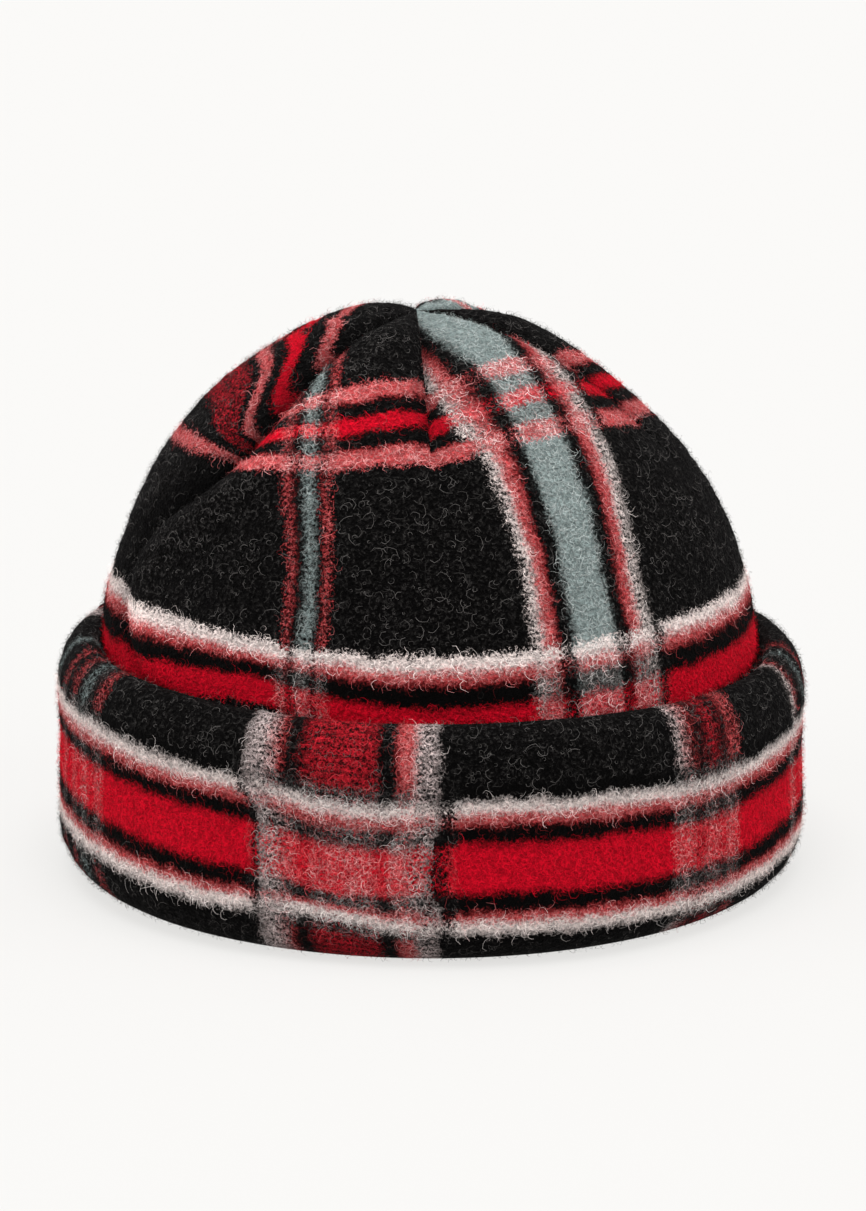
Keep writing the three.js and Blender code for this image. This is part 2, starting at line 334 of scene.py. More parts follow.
class Graph:
    """A node tree that is written as expressions."""

    def __init__(self, tree: bpy.types.NodeTree) -> None:
        """Takes the tree that the nodes go into."""
        self.tree = tree

    def node(self, kind: str, settings: dict[str, Any] | None = None, sockets: Sockets = None) -> Any:
        """Adds a node.

        Args:
            kind: The node's type.
            settings: Its settings, set first. "stops" holds a ramp's places and colours.
            sockets: Values or links by the socket's place, identifier or name.

        Returns:
            The node.
        """
        made = self.tree.nodes.new(kind)
        for name, setting in (settings or {}).items():
            if name == "stops":
                self.set_stops(made.color_ramp, setting)
            else:
                setattr(made, name, setting)
        for name, given in (sockets or {}).items():
            self.feed(self.find(made.inputs, name), given)
        return made

    @staticmethod
    def set_stops(ramp: bpy.types.ColorRamp, stops: Sequence[tuple]) -> None:
        """Sets a ramp's places and colours.

        Args:
            ramp: The ramp, which blends evenly between them.
            stops: Each place and its colour.
        """
        ramp.interpolation = "LINEAR"
        while len(ramp.elements) > 1:
            ramp.elements.remove(ramp.elements[-1])
        ramp.elements[0].position = stops[0][0]
        ramp.elements[0].color = stops[0][1]
        for place, color in stops[1:]:
            ramp.elements.new(place).color = color

    @staticmethod
    def find(sockets: Any, name: str | int) -> Any:
        """A socket of a node.

        Args:
            sockets: The node's inputs or outputs.
            name: Its place, its identifier or, failing that, its name if it is in use.

        Returns:
            The socket.
        """
        if isinstance(name, int):
            return sockets[name]
        exact = [socket for socket in sockets if socket.identifier == name]
        return (exact or [socket for socket in sockets if socket.name == name and socket.enabled])[0]

    def feed(self, socket: Any, given: Any) -> None:
        """Links or sets an input.

        Args:
            socket: The input.
            given: A Value to link, or a constant. A colour may leave out its alpha.
        """
        if isinstance(given, Value):
            self.tree.links.new(given.socket, socket)
        elif isinstance(given, (tuple, list)) and socket.type == "RGBA" and len(given) == 3:
            socket.default_value = (*given, 1.0)
        else:
            socket.default_value = given

    def out(self, node: Any, name: str | int = 0) -> Value:
        """A node's output by its name or place."""
        return Value(self, self.find(node.outputs, name))

    def read(self, kind: str, output: str | int = 0, sockets: Sockets = None, **settings: Any) -> Value:
        """Adds a node and gives back one of its outputs."""
        return self.out(self.node(kind, settings, sockets), output)

    def attribute(self, name: str, output: str) -> Value:
        """A named attribute of the surface that is shaded."""
        return self.read("ShaderNodeAttribute", output, attribute_name=name)

    def math(self, operation: str, *values: Any, clamp: bool = False) -> Value:
        """A Math node on one to three values."""
        return self.read("ShaderNodeMath", 0, dict(enumerate(values)), operation=operation, use_clamp=clamp)

    def vector(self, operation: str, *values: Any) -> Value:
        """A Vector Math node on one or two vectors."""
        output = "Value" if operation == "DOT_PRODUCT" else "Vector"
        return self.read("ShaderNodeVectorMath", output, dict(enumerate(values)), operation=operation)

    def scaled(self, vector: Any, factor: Any) -> Value:
        """A vector times a number."""
        sockets = {"Vector": vector, "Scale": factor}
        return self.read("ShaderNodeVectorMath", "Vector", sockets, operation="SCALE")

    def combine(self, operation: str, first: Any, second: Any) -> Value:
        """Two numbers, two vectors, or a vector and a number, joined by an operator.

        Args:
            operation: The operator, which may only multiply or divide a vector by a number.
            first: The one on the left.
            second: The one on the right.

        Returns:
            What they make.
        """
        vectors = [isinstance(one, tuple) or getattr(one, "is_vector", False) for one in (first, second)]
        if not any(vectors):
            return self.math(operation, first, second)
        if all(vectors):
            return self.vector(operation, first, second)
        vector, number = (first, second) if vectors[0] else (second, first)
        if operation == "DIVIDE":
            number = 1.0 / number
        return self.scaled(vector, number)

    def mix(self, factor: Any, first: Any, second: Any) -> Value:
        """A blend of two colours."""
        sockets = {"Factor_Float": factor, "A_Color": first, "B_Color": second}
        return self.read("ShaderNodeMix", "Result_Color", sockets, data_type="RGBA")

    def remap(self, value: Any, low: float, high: float, to_low: float = 0.0, to_high: float = 1.0) -> Value:
        """A value moved from one range to another, with smooth ends."""
        sockets = {"Value": value, "From Min": low, "From Max": high, "To Min": to_low, "To Max": to_high}
        return self.read("ShaderNodeMapRange", "Result", sockets, interpolation_type="SMOOTHSTEP", clamp=True)

    def split(self, vector: Value) -> tuple[Value, Value, Value]:
        """A vector's three parts."""
        made = self.node("ShaderNodeSeparateXYZ", None, {"Vector": vector})
        return self.out(made, "X"), self.out(made, "Y"), self.out(made, "Z")

    def join(self, x: Any, y: Any, z: Any) -> Value:
        """A vector from three parts."""
        return self.read("ShaderNodeCombineXYZ", "Vector", {"X": x, "Y": y, "Z": z})

    def noise(self, place: Any, scale: float, detail: float = 2.0, distortion: float = 0.0) -> Value:
        """Soft noise round 0.5 at a place."""
        sockets = {"Vector": place, "Scale": scale, "Detail": detail, "Distortion": distortion}
        return self.read("ShaderNodeTexNoise", 0, {**sockets, "Roughness": NOISE_ROUGHNESS})


# ---------------------------------------------------------------- the wool's finishes


@dataclass(frozen=True)
class Dye:
    """The woven colour at a place, and what the nap needs to know about it."""

    color: Value
    dyed: Value  # how much of it is dyed yarn and not the black ground
    crossed: Value  # how much of it is where a dyed warp and a dyed weft cross


@dataclass(frozen=True)
class WovenColour:
    """The plaid's colour from the fabric map, its yarns mixed hair by hair."""

    plaid: Plaid
    stray: float = 5.5  # how far the brushed yarns stray over a stripe's edge
    drift: float = 2.6  # how far the stripes' edges wander
    fade: float = 2.4  # how wide a stripe's edge fades
    pick: float = 2.0  # from one pick of the weave to the next
    ramp_stops_most: int = 30  # stops in one ramp

    def ramp_stops(self, table: tuple[Stripe, ...], span: tuple[float, float], of_hold: bool) -> list[tuple]:
        """The places and colours of a ramp across the stripes.

        Args:
            table: The stripes in order.
            span: The stretch of cloth that the ramp covers.
            of_hold: Whether the ramp gives the stripes' hold in place of their colour and cover.

        Returns:
            The stops, two for each edge.
        """
        low, high = span
        fields: list[tuple[float, Stripe | None]] = [(low, None)]
        for index, stripe in enumerate(table):
            fields.append((stripe.start, stripe))
            following = table[index + 1].start if index + 1 < len(table) else high
            if following > stripe.end + TOUCHING:
                fields.append((stripe.end, None))
        ends = [start for start, _ in fields[1:]] + [high]
        stops = []
        for index in range(1, len(fields)):
            edge = fields[index][0]
            room = min(edge - fields[index - 1][0], ends[index] - edge)
            half = min(self.fade, 0.8 * room) / 2
            sides = [fields[index - 1][1], fields[index][1]]
            for side, stripe, other in ((-half, sides[0], sides[1]), (half, sides[1], sides[0])):
                if of_hold:
                    value = (stripe.hold if stripe else 0.0,) * 3 + (1.0,)
                else:
                    value = (*(stripe or other).yarn.value, stripe.cover if stripe else 0.0)
                stops.append(((edge + side - low) / (high - low), value))
        return stops

    def groups(self, table: tuple[Stripe, ...]) -> list[list[Stripe]]:
        """The stripes in groups that each fit one ramp, split only where the ground lies bare between two.

        Args:
            table: The stripes in order.

        Returns:
            The groups.
        """
        runs: list[list[Stripe]] = []
        for stripe in table:
            if runs and stripe.start <= runs[-1][-1].end + TOUCHING:
                runs[-1].append(stripe)
            else:
                runs.append([stripe])
        made: list[list[Stripe]] = []
        stops = 0
        for run in runs:
            needed = 2 * len(run) + 2
            if not made or stops + needed > self.ramp_stops_most:
                made.append([])
                stops = 0
            made[-1] += run
            stops += needed
        return made

    def across_stripes(self, graph: Graph, place: Value, table: tuple[Stripe, ...], span: tuple[float, float],
                       of_hold: bool = False) -> tuple[Value, Value]:
        """The colour and cover of a set of stripes at a place, from as many ramps as the stripes need.

        Args:
            graph: The shader's graph.
            place: Millimetres across the stripes.
            table: The stripes in order.
            span: The stretch of cloth that the stripes lie in.
            of_hold: Whether to give the stripes' hold.

        Returns:
            The colour and the cover.
        """
        share = (place - span[0]) / (span[1] - span[0])
        color, cover = None, None
        for group in self.groups(table):
            stops = self.ramp_stops(group, span, of_hold)
            ramp = graph.node("ShaderNodeValToRGB", {"stops": stops}, {"Fac": share})
            group_color, group_cover = graph.out(ramp, "Color"), graph.out(ramp, "Alpha")
            if color is None:
                color, cover = group_color, group_cover
                continue
            inside = graph.math("GREATER_THAN", place, group[0].start - 0.5 * self.fade)
            color = graph.mix(inside, color, group_color)
            cover = cover + (group_cover - cover) * inside
        return color, cover

    def build(self, graph: Graph, fabric: Value, place: Value, curls: Value | None = None) -> Dye:
        """The cloth's colour.

        Args:
            graph: The shader's graph.
            fabric: The place on the flat cloth, in millimetres.
            place: The place on the hat, in millimetres, which the hairs follow.
            curls: Where the fine curled hairs lie, which carry a stripe's colour past its edge.

        Returns:
            The colour and its mix.
        """
        across, along, _ = graph.split(fabric)
        strays = [graph.noise(place + (offset, 7.0, 3.0), 1.25, 2.5) - 0.5 for offset in (11.0, 53.0)]
        drifts = [graph.noise(place + (offset, 1.0, 9.0), 0.16, 1.0) - 0.5 for offset in (31.0, 73.0)]
        picks = graph.math("SINE", along * (2 * math.pi / self.pick) + strays[0] * 7.0)
        across = across + strays[0] * self.stray + drifts[0] * self.drift
        along = along + strays[1] * self.stray + drifts[1] * self.drift
        warp, warp_cover = self.across_stripes(graph, across, self.plaid.warp, self.plaid.warp_span)
        hold, _ = self.across_stripes(graph, across, self.plaid.warp, self.plaid.warp_span, of_hold=True)
        weft, weft_cover = self.across_stripes(graph, along, self.plaid.weft, self.plaid.weft_span)
        tangles = [graph.noise(place + (offset, 2.0, 5.0), 1.35, 3.5, 0.4) for offset in (5.0, 91.0)]
        hair = [graph.remap(tangle, 0.28, 0.72) for tangle in tangles]
        if curls is not None:
            hair = [level * 0.64 + 0.28 - curls * 0.50 for level in hair]
        hold_share = graph.vector("DOT_PRODUCT", hold, (1 / 3, 1 / 3, 1 / 3))
        depth = graph.remap(warp_cover, 0.58, 0.80, 0.22, 0.06)
        laddered = warp_cover * (1.0 - depth + picks * depth)
        under = graph.math("ADD", (laddered - hair[0]) * 1.9, 0.5, clamp=True)
        over_cover = weft_cover * (1.0 - hold_share)
        over = graph.math("ADD", (over_cover - hair[1] * 0.98) * 2.4, 0.5, clamp=True)
        over = over * graph.remap(over_cover, 0.0, 0.15)
        under = under * graph.remap(warp_cover, 0.0, 0.15)
        color = graph.mix(over, graph.mix(under, Yarn.BLACK.value, warp), weft)
        bright = graph.remap(graph.vector("DOT_PRODUCT", warp, (0.5, 0.5, 0.5)), 0.03, 0.2)
        dyed = graph.math("MAXIMUM", under * warp_cover * bright, over)
        yields = graph.remap(hold_share, 0.35, 0.6, 1.0, 0.0)
        patchy = drifts[0] * 1.3 + 1.0
        meeting = (under * 0.7 + warp_cover * 0.3) * weft_cover
        return Dye(color, dyed, meeting * yields * (bright * 0.7 + 0.3) * patchy)


class Finish:
    """A material that is written in one graph."""

    def __init__(self, name: str) -> None:
        """Makes the empty material.

        Args:
            name: Its name.
        """
        self.material = bpy.data.materials.new(name)
        self.material.use_nodes = True
        self.material.node_tree.nodes.clear()
        self.graph = Graph(self.material.node_tree)

    def surface(self, sockets: dict[str, Any]) -> None:
        """Ends the graph in a Principled surface."""
        shader = self.graph.node("ShaderNodeBsdfPrincipled", None, sockets)
        self.graph.node("ShaderNodeOutputMaterial", None, {"Surface": self.graph.out(shader)})


@dataclass(frozen=True)
class Nap:
    """How the brushed hairs lighten a colour: pure red and black stay deep, and mixed yarns frost over."""

    pale: tuple[float, float, float] = (0.95, 0.89, 0.86)
    bleach: float = 0.74  # how pale the palest hairs of a colour are
    grey: tuple[float, float, float] = (0.28, 0.26, 0.25)
    marled: float = 0.50
    crossed: float = 0.52

    def frost(self, graph: Graph, dye: Dye) -> Value:
        """How far the hairs of a colour go toward the pale ones.

        Args:
            graph: The shader's graph.
            dye: The cloth's colour at their root.

        Returns:
            The share, from 0 to 1.
        """
        red, green, blue = graph.split(dye.color)
        warm = graph.remap(red - blue, -0.02, 0.06, 0.5, 1.0)
        marl = graph.remap(green, 0.012, 0.06) * warm
        return graph.math("MINIMUM", marl * self.marled + dye.crossed * self.crossed, 1.0)

    def hair(self, graph: Graph, dye: Dye, much: Value, some: Value) -> Value:
        """The colour of one hair.

        Args:
            graph: The shader's graph.
            dye: The cloth's colour at its root.
            much: How pale it is where pale hairs are mixed in.
            some: How grey it is on the black ground.

        Returns:
            The hair's colour.
        """
        bleached = graph.mix(self.bleach, dye.color, self.pale)
        dyed = graph.mix(self.frost(graph, dye) * much, dye.color, bleached)
        ground = graph.mix(some, dye.color, self.grey)
        return graph.mix(dye.dyed, ground, dyed)


@dataclass(frozen=True)
class BrushedWool:
    """The cloth's own face: felted yarns under a nap of fine curled hairs."""

    plaid: Plaid
    nap: Nap = Nap()
    curl_scales: tuple[float, ...] = (0.62, 0.95, 1.4)
    roughness: float = 0.95
    sheen: float = 0.006

    def curls(self, graph: Graph, place: Value) -> Value:
        """Fine curled hairs, which are the level lines of a soft noise.

        Args:
            graph: The shader's graph.
            place: The place on the hat, in millimetres.

        Returns:
            How much of a hair lies there.
        """
        total = None
        for index, scale in enumerate(self.curl_scales):
            level = abs(graph.noise(place + (17.0 * index + 4.0, 29.0 * index, 8.0), scale, 0.6, 0.5) - 0.5)
            hair = graph.remap(level, 0.0, 0.030 + 0.008 * index, 1.0, 0.0)
            total = hair if total is None else graph.math("MAXIMUM", total, hair * (0.9 - 0.15 * index))
        return total

    def make(self, name: str) -> bpy.types.Material:
        """The material.

        Args:
            name: The material's name.

        Returns:
            The material, which reads the fabric map and object coordinates.
        """
        finish = Finish(name)
        graph = finish.graph
        fabric = graph.read("ShaderNodeUVMap", "UV", uv_map=FABRIC)
        place = graph.read("ShaderNodeTexCoord", "Object") * (1 / MM)
        curls = self.curls(graph, place)
        dye = WovenColour(self.plaid).build(graph, fabric, place, curls)
        # the painted light that the pieces carry: painted shade in creases, dents, the cuff's foot and
        # inside, and a painted highlight on the bulge
        painted_light = graph.attribute("painted_light", "Fac")
        clumps = graph.remap(graph.noise(place, 0.45, 2.5, 0.8), 0.30, 0.70)
        tufts = graph.remap(graph.noise(place + (3.0, 3.0, 3.0), 1.0, 2.0, 0.4), 0.36, 0.64)
        # grey hairs on the black ground: partly the wool's own colour, partly a painted highlight on the tops
        # of the tufts, and scaled by the painted light
        grey_hair_and_highlight = tufts * tufts * tufts * (curls * 0.10 + clumps * 0.045) * painted_light
        napped = self.nap.hair(graph, dye, curls * 0.9 + 0.1, grey_hair_and_highlight)
        # painted shade: the colour is darker in the nap's hollows, away from the tufts, clumps and curls that
        # the bump raises, and darker still where the painted light is low
        painted_shade = (tufts * 0.32 + clumps * 0.14 + curls * 0.10 + 0.44) * (painted_light * 0.7 + 0.3)
        height = curls * 0.4 + clumps * 1.2 + tufts * 1.1
        bump = graph.node("ShaderNodeBump", None, {"Strength": 0.8, "Distance": 0.0011, "Height": height})
        finish.surface({
            "Base Color": graph.scaled(napped, painted_shade),
            "Roughness": self.roughness,
            "Sheen Weight": self.sheen,
            "Sheen Roughness": 0.45,
            "Sheen Tint": (0.9, 0.88, 0.86, 1.0),
            "Specular IOR Level": 0.03,
            "Normal": graph.out(bump, "Normal"),
        })
        return finish.material


@dataclass(frozen=True)
class LooseHair:
    """The hairs that stand out of the cloth, each in the colour of the yarn it grows from."""

    plaid: Plaid
    nap: Nap = Nap()

    def make(self, name: str) -> bpy.types.Material:
        """The material.

        Args:
            name: The material's name.

        Returns:
            The material, which reads the attributes that each hair carries.
        """
        finish = Finish(name)
        graph = finish.graph
        fabric = graph.attribute("fabric", "Vector")
        root = graph.attribute("root", "Vector") * (1 / MM)
        pale, stray, _ = graph.split(graph.attribute("chance", "Vector"))
        dye = WovenColour(self.plaid, stray=8.0).build(graph, fabric, root)
        much = graph.remap(pale, 0.1, 0.9, 0.0, 1.3)
        some = graph.remap(stray, 0.76, 1.0, 0.003, 0.36)
        hair = self.nap.hair(graph, dye, much, some)
        finish.surface({
            # painted light: each hair takes the painted shade and painted highlight of the cloth it grows
            # from
            "Base Color": graph.scaled(hair, graph.attribute("painted_light", "Fac") * 0.7 + 0.3),
            "Roughness": 0.85,
            "Specular IOR Level": 0.04,
        })
        return finish.material


# ---------------------------------------------------------------- meshes


@dataclass
class Sheet:
    """A closed surface under construction: rows of points that wrap round the cloth's section."""

    points: Array  # rows x places x 3, in millimetres
    fabric: Array  # rows x places x 2, in millimetres
    # besides how thickly hair grows, pile carries the painted light under its own name
    pile: dict[str, Array]  # how thickly hair grows, by name

    def make(self, name: str, closes: bool, caps: Sequence[Sequence[int]] = ()) -> bpy.types.Object:
        """Makes the object.

        Args:
            name: The piece's name.
            closes: Whether the last row joins the first.
            caps: Faces across the first row, as places in it.

        Returns:
            The object, with its fabric map and its bake map.
        """
        rows, places, _ = self.points.shape
        last = rows if closes else rows - 1
        row, place = np.meshgrid(np.arange(last), np.arange(places), indexing="ij")
        turns = ((0, 0), (0, 1), (1, 1), (1, 0))  # rows and places from a face's first corner to each corner
        quads = [(row + up) % rows * places + (place + on) % places for up, on in turns]
        faces = np.stack(quads, -1).reshape(-1, 4).tolist()
        grid = np.stack([np.stack([(place + on) / places, (row + up) / last], -1) for up, on in turns], -2)
        grid_corners = (grid.reshape(-1, 2) * (0.99, 0.94) + 0.005).tolist()
        for index, cap in enumerate(caps):
            left = 0.005 + 0.99 * index / len(caps)
            width = 0.97 / len(caps)
            faces.append(list(cap))
            grid_corners += [(left, 0.96), (left + width, 0.96), (left + width, 0.99), (left, 0.99)]
        mesh = bpy.data.meshes.new(name)
        mesh.from_pydata((self.points.reshape(-1, 3) * MM).tolist(), [], faces)
        corners = np.array([corner for face in faces for corner in face])
        fabric = mesh.uv_layers.new(name=FABRIC)
        fabric.data.foreach_set("uv", self.fabric.reshape(-1, 2)[corners].astype(np.float32).ravel())
        bake = mesh.uv_layers.new(name=BAKE)
        bake.data.foreach_set("uv", np.array(grid_corners, np.float32).ravel())
        for pile_name, thickness in self.pile.items():
            layer = mesh.attributes.new(pile_name, "FLOAT", "POINT")
            layer.data.foreach_set("value", thickness.astype(np.float32).ravel())
        mesh.polygons.foreach_set("use_smooth", [True] * len(faces))
        mesh.update()
        made = bpy.data.objects.new(name, mesh)
        bpy.context.scene.collection.objects.link(made)
        return made


def nap(points: Array, height: float, size: float, seed: float) -> Array:
    """The slow rise and fall of brushed cloth at each point.

    Args:
        points: The points, in millimetres.
        height: How high the nap rises.
        size: The size of its clumps.
        seed: Which of many such surfaces.

    Returns:
        The rise at each point.
    """
    flat = points.reshape(-1, 3) / size + seed
    rises = [noise.noise(Vector(place)) + 0.5 * noise.noise(Vector(place * 2.3 + 5.0)) for place in flat]
    return height * np.array(rises).reshape(points.shape[:-1])


def brushed(points: Array, broad_seed: float, fine_seed: float) -> Array:
    """How far the brushed nap stands up at each point: broad clumps with finer tufts on them."""
    return nap(points, NAP_RISE, 7.0, broad_seed) + nap(points, TUFT_RISE, 2.6, fine_seed)


# ---------------------------------------------------------------- the crown


class CreaseKind(Enum):
    """A seam joins the two panels, and a dart is sewn within one."""

    SEAM = "seam"
    DART = "dart"


@dataclass(frozen=True)
class Crease:
    """A crease from the apex toward the hem, in degrees and millimetres."""

    kind: CreaseKind
    hem: float  # its azimuth at the hem
    apex: float  # its azimuth at the apex
    sway: float  # how far round it drifts between them
    depth: float
    before: float  # how far its slope reaches into the section before it
    after: float  # and into the section after it
    bulge: float  # how far the section after it swells
    ends: float  # the level where it dies out, or 0 where it runs down to the hem


@dataclass(frozen=True)
class Grain:
    """How the cloth lies on one section of the crown.

    warp and weft are the azimuths at which the warp runs straight up and the weft lies level. The weft
    bends to its azimuth between the two ways up the crown, and stretch is how it is drawn out there.
    """

    warp: float
    weft: float
    bends_from: float = 100.0
    bends_to: float = 160.0
    stretch: float = 1.0
    tilt: float = 0.0  # how far the weft runs down low on the crown, in millimetres a degree
    swallow: float = 0.0  # how much of the cloth the last crease takes in high on the crown
    pull: float = 0.0  # how far the warp is drawn to the first crease near the apex


@dataclass(frozen=True)
class Dent:
    """A soft oval dent, or a swell with a negative depth."""

    azimuth: float
    level: float
    depth: float
    degrees: float
    levels: float


LEFT_SEAM = Crease(CreaseKind.SEAM, -57, -46, -22, 5.5, 22, 9, 2.6, 0)
CREASES = (
    LEFT_SEAM,
    Crease(CreaseKind.DART, 4, 2, 0, 2.2, 13, 13, 0, 0.57),
    Crease(CreaseKind.DART, 76, 75, 0, 2.0, 14, 14, 0, 0.52),
    Crease(CreaseKind.SEAM, 123, 132, 4, 3.2, 12, 18, 0.8, 0),
    Crease(CreaseKind.DART, 182, 183, 0, 2.2, 13, 13, 0, 0.57),
    Crease(CreaseKind.DART, 257, 255, 0, 2.0, 14, 14, 0, 0.52),
    Crease(CreaseKind.SEAM, 303, 314, -22, 5.5, 22, 9, 2.6, 0),
)
GRAINS = (
    Grain(-8, 15),
    Grain(27, 42, stretch=1.065, pull=5.0),
    Grain(97, 60, stretch=1.05),
    Grain(152, 152),
    Grain(220, 246),
    Grain(260, 268, 300.0, 310.0, tilt=0.15, swallow=0.36),
)


@dataclass(frozen=True)
class Crown:
    """The crown's form, the same as its solid's, and the cloth that is cut for it."""

    half_width: float = 93.0
    half_depth: float = 90.2
    hem: float = CLOTH + GAP
    dome_base: float = 53.4
    dome_rise: float = 107.0
    fullness: float = 2.07
    wall_share: float = 0.244
    cloth_length: float = 207.4  # from the hem to the apex along the cloth
    pucker_radius: float = 26.0
    front_middle: float = -2.0  # the azimuth where the lower rows run lowest
    weft_rise: float = 3.0  # how much higher they run at the sides than there
    left_fold: float = -32.0  # the azimuth where the lower rows are tucked under
    weft_tuck: float = 5.4  # how much of them is tucked there
    last_middle: float = 300.0  # the azimuth that the last section's rows tilt about
    last_seam: float = 310.0  # and where its seam swallows them
    widest_cut: float = 1.15  # how far the cut of the cloth opens, as a ring's half width by its radius
    crease_fade: float = 0.16
    clear_of_cuff: tuple[float, float] = (62.0, 74.0)  # the heights between which the creases open out
    seam_tuck: float = 1.6  # how deep the stitches pull the cloth along a seam
    dart_tuck: float = 1.3  # and along a dart
    tuck_reach: float = 3.2
    allowance: float = 6.0  # how far the seam allowances stand in past the cloth
    thinning: float = 0.036  # the turned cloth's thickness near the apex, as a share of the section's width
    puff: float = 1.3  # how far each section swells near the apex
    overhang: float = 1.1  # how far the crown swells over the cuff
    stands_off: float = -1.2  # how far along X the crown stands off the cuff's middle
    lean: float = -3.1  # how much further its apex leans
    hem_radius: float = 92.0  # the radius along which the warp is measured
    rows: int = 168
    wall_rows: int = 26
    columns: int = 46
    dents: tuple[Dent, ...] = (
        Dent(106, 0.67, 1.8, 30, 0.11),
        Dent(98, 0.43, -0.8, 30, 0.09),
        Dent(4, 0.54, 0.8, 8, 0.06),
        Dent(-30, 0.44, 0.7, 14, 0.08),
        Dent(208, 0.42, 1.2, 22, 0.1),
    )

    def crease_azimuth(self, crease: Crease, level: Array) -> Array:
        """The azimuth of a crease at a level."""
        straight = crease.hem + (crease.apex - crease.hem) * ease(0, 0.8, level)
        return straight + crease.sway * hump(level - 0.43, 0.13)

    def base(self, azimuth: Array, level: Array) -> tuple[Array, Array, Array]:
        """The plain surface before its creases.

        Args:
            azimuth: Degrees from the front, positive toward +X.
            level: The share of the way up from the hem, along the cloth.

        Returns:
            The points, their outward normals and their rings' half widths.
        """
        across, along = outward_at(azimuth)
        climb = np.clip((level - self.wall_share) / (1 - self.wall_share), 0, 1) * math.pi / 2
        on_wall = level <= self.wall_share
        shrink = np.where(on_wall, 1.0, np.maximum(np.cos(climb), 0) ** (2 / self.fullness))
        rise = np.where(on_wall, 0.0, np.sin(climb) ** (2 / self.fullness))
        wall_height = self.hem + (self.dome_base - self.hem) * level / self.wall_share
        height = np.where(on_wall, wall_height, self.dome_base + self.dome_rise * rise)
        level_way = 0 * across
        points = np.stack([
            self.half_width * shrink * across,
            self.half_depth * shrink * along,
            height + level_way,
        ], -1)
        flat = unit(np.stack([across / self.half_width, along / self.half_depth, level_way], -1))
        sideways = np.where(on_wall, 1.0, shrink ** (self.fullness - 1) / self.half_width)
        upward = np.where(on_wall, 0.0, rise ** (self.fullness - 1) / self.dome_rise)
        normals = unit(flat * sideways[..., None] + np.stack([level_way, level_way, upward], -1))
        return points, normals, self.half_width * shrink

    def slope(self, distance: Array, reach: Array) -> Array:
        """How far a slope has risen out of a crease, from 1 at its bottom to 0."""
        return np.maximum(0, 1 - distance / np.maximum(reach, 0.01)) ** 2

    def strength(self, crease: Crease, level: Array, near_apex: Array, height: Array) -> Array:
        """How strongly a crease shows at a level."""
        dying = ease(crease.ends, crease.ends + self.crease_fade, level) if crease.ends else 1.0
        return near_apex * dying * (0.3 + 0.7 * ease(*self.clear_of_cuff, height))

    def fabric(self, grain: Grain, azimuth: Array, level: Array, ring: Array, from_crease: Array) -> Array:
        """Which part of the flat cloth lies at a place.

        Args:
            grain: How the section's cloth lies.
            azimuth: The place's azimuth.
            level: The place's level.
            ring: Half the width of the crown there.
            from_crease: How far the place is from the section's first crease.

        Returns:
            Millimetres across the warp and along the weft's way from the apex.
        """
        up = level * self.cloth_length
        radius = np.maximum(self.cloth_length - up, 0.5)
        open_angle = np.minimum(ring / radius, self.widest_cut)
        level_across = self.hem_radius * np.radians(azimuth)
        cut_across = radius * np.sin(open_angle * np.radians(azimuth - grain.warp))
        cut_across = self.hem_radius * math.radians(grain.warp) + cut_across
        across = level_across + (cut_across - level_across) * ease(85, 120, up)
        across = across + grain.pull * hump(from_crease - 4, 9) * ease(118, 146, up)
        bend = ease(grain.bends_from, grain.bends_to, up)
        fall = 1 - np.cos(np.clip(open_angle * np.radians(azimuth - grain.weft), -1.5, 1.5))
        stretch = 1 + (grain.stretch - 1) * ease(grain.bends_from, 130, up)
        taken = grain.swallow * hump(azimuth - self.last_seam, 13) * ease(126, 137, up)
        lean = grain.tilt * (azimuth - self.last_middle) * ease(90, 110, up) * (1 - ease(128, 140, up))
        at_sides = 1 - hump(turn_between(azimuth, self.front_middle), 36.0)
        rise = self.weft_rise * at_sides * ease(116, 128, radius)
        low_down = np.clip((radius - 130.0) / 12.0, 0.0, 1.6)
        tuck = self.weft_tuck * hump(turn_between(azimuth, self.left_fold), 15.0) * low_down
        return np.stack([across, radius * (1 - bend * fall) * (1 - taken) * stretch + lean + rise + tuck], -1)

    def section(self, index: int, share: Array, level: Array) -> tuple[Array, ...]:
        """The outer face between two creases.

        Args:
            index: Which section, counted round from the left seam.
            share: The share of the way from the first crease to the second.
            level: The share of the way up.

        Returns:
            The points, normals, azimuths, the section's width, the fabric map and the painted light: painted
            shade in creases and dents, a painted highlight on the bulge.
        """
        first, second = CREASES[index], CREASES[index + 1]
        start, end = self.crease_azimuth(first, level), self.crease_azimuth(second, level)
        azimuth = start + (end - start) * share
        points, normals, ring = self.base(azimuth, level)
        width = np.radians(end - start) * ring
        near_apex = np.minimum(1, ring / self.pucker_radius)
        height = points[..., 2]
        from_first, from_second = width * share, width * (1 - share)
        sink = 0.0
        for crease, distance, reach in (
            (first, from_first, first.after),
            (second, from_second, second.before),
        ):
            tuck = self.seam_tuck if crease.kind is CreaseKind.SEAM else self.dart_tuck
            fold = crease.depth * self.slope(distance, np.minimum(reach, 0.45 * width))
            stitched = tuck * self.slope(distance, self.tuck_reach)
            sink = sink + (fold + stitched) * self.strength(crease, level, near_apex, height)
        bulge = first.bulge * hump(from_first - 15, 9) * ease(*self.clear_of_cuff, height)
        puff = self.puff * hump(ring - 24, 17) * np.sin(math.pi * share)
        overhang = self.overhang * hump(height - 78, 10)
        dents = sum(
            dent.depth
            * hump(turn_between(azimuth, dent.azimuth), dent.degrees)
            * hump(level - dent.level, dent.levels)
            for dent in self.dents
        )
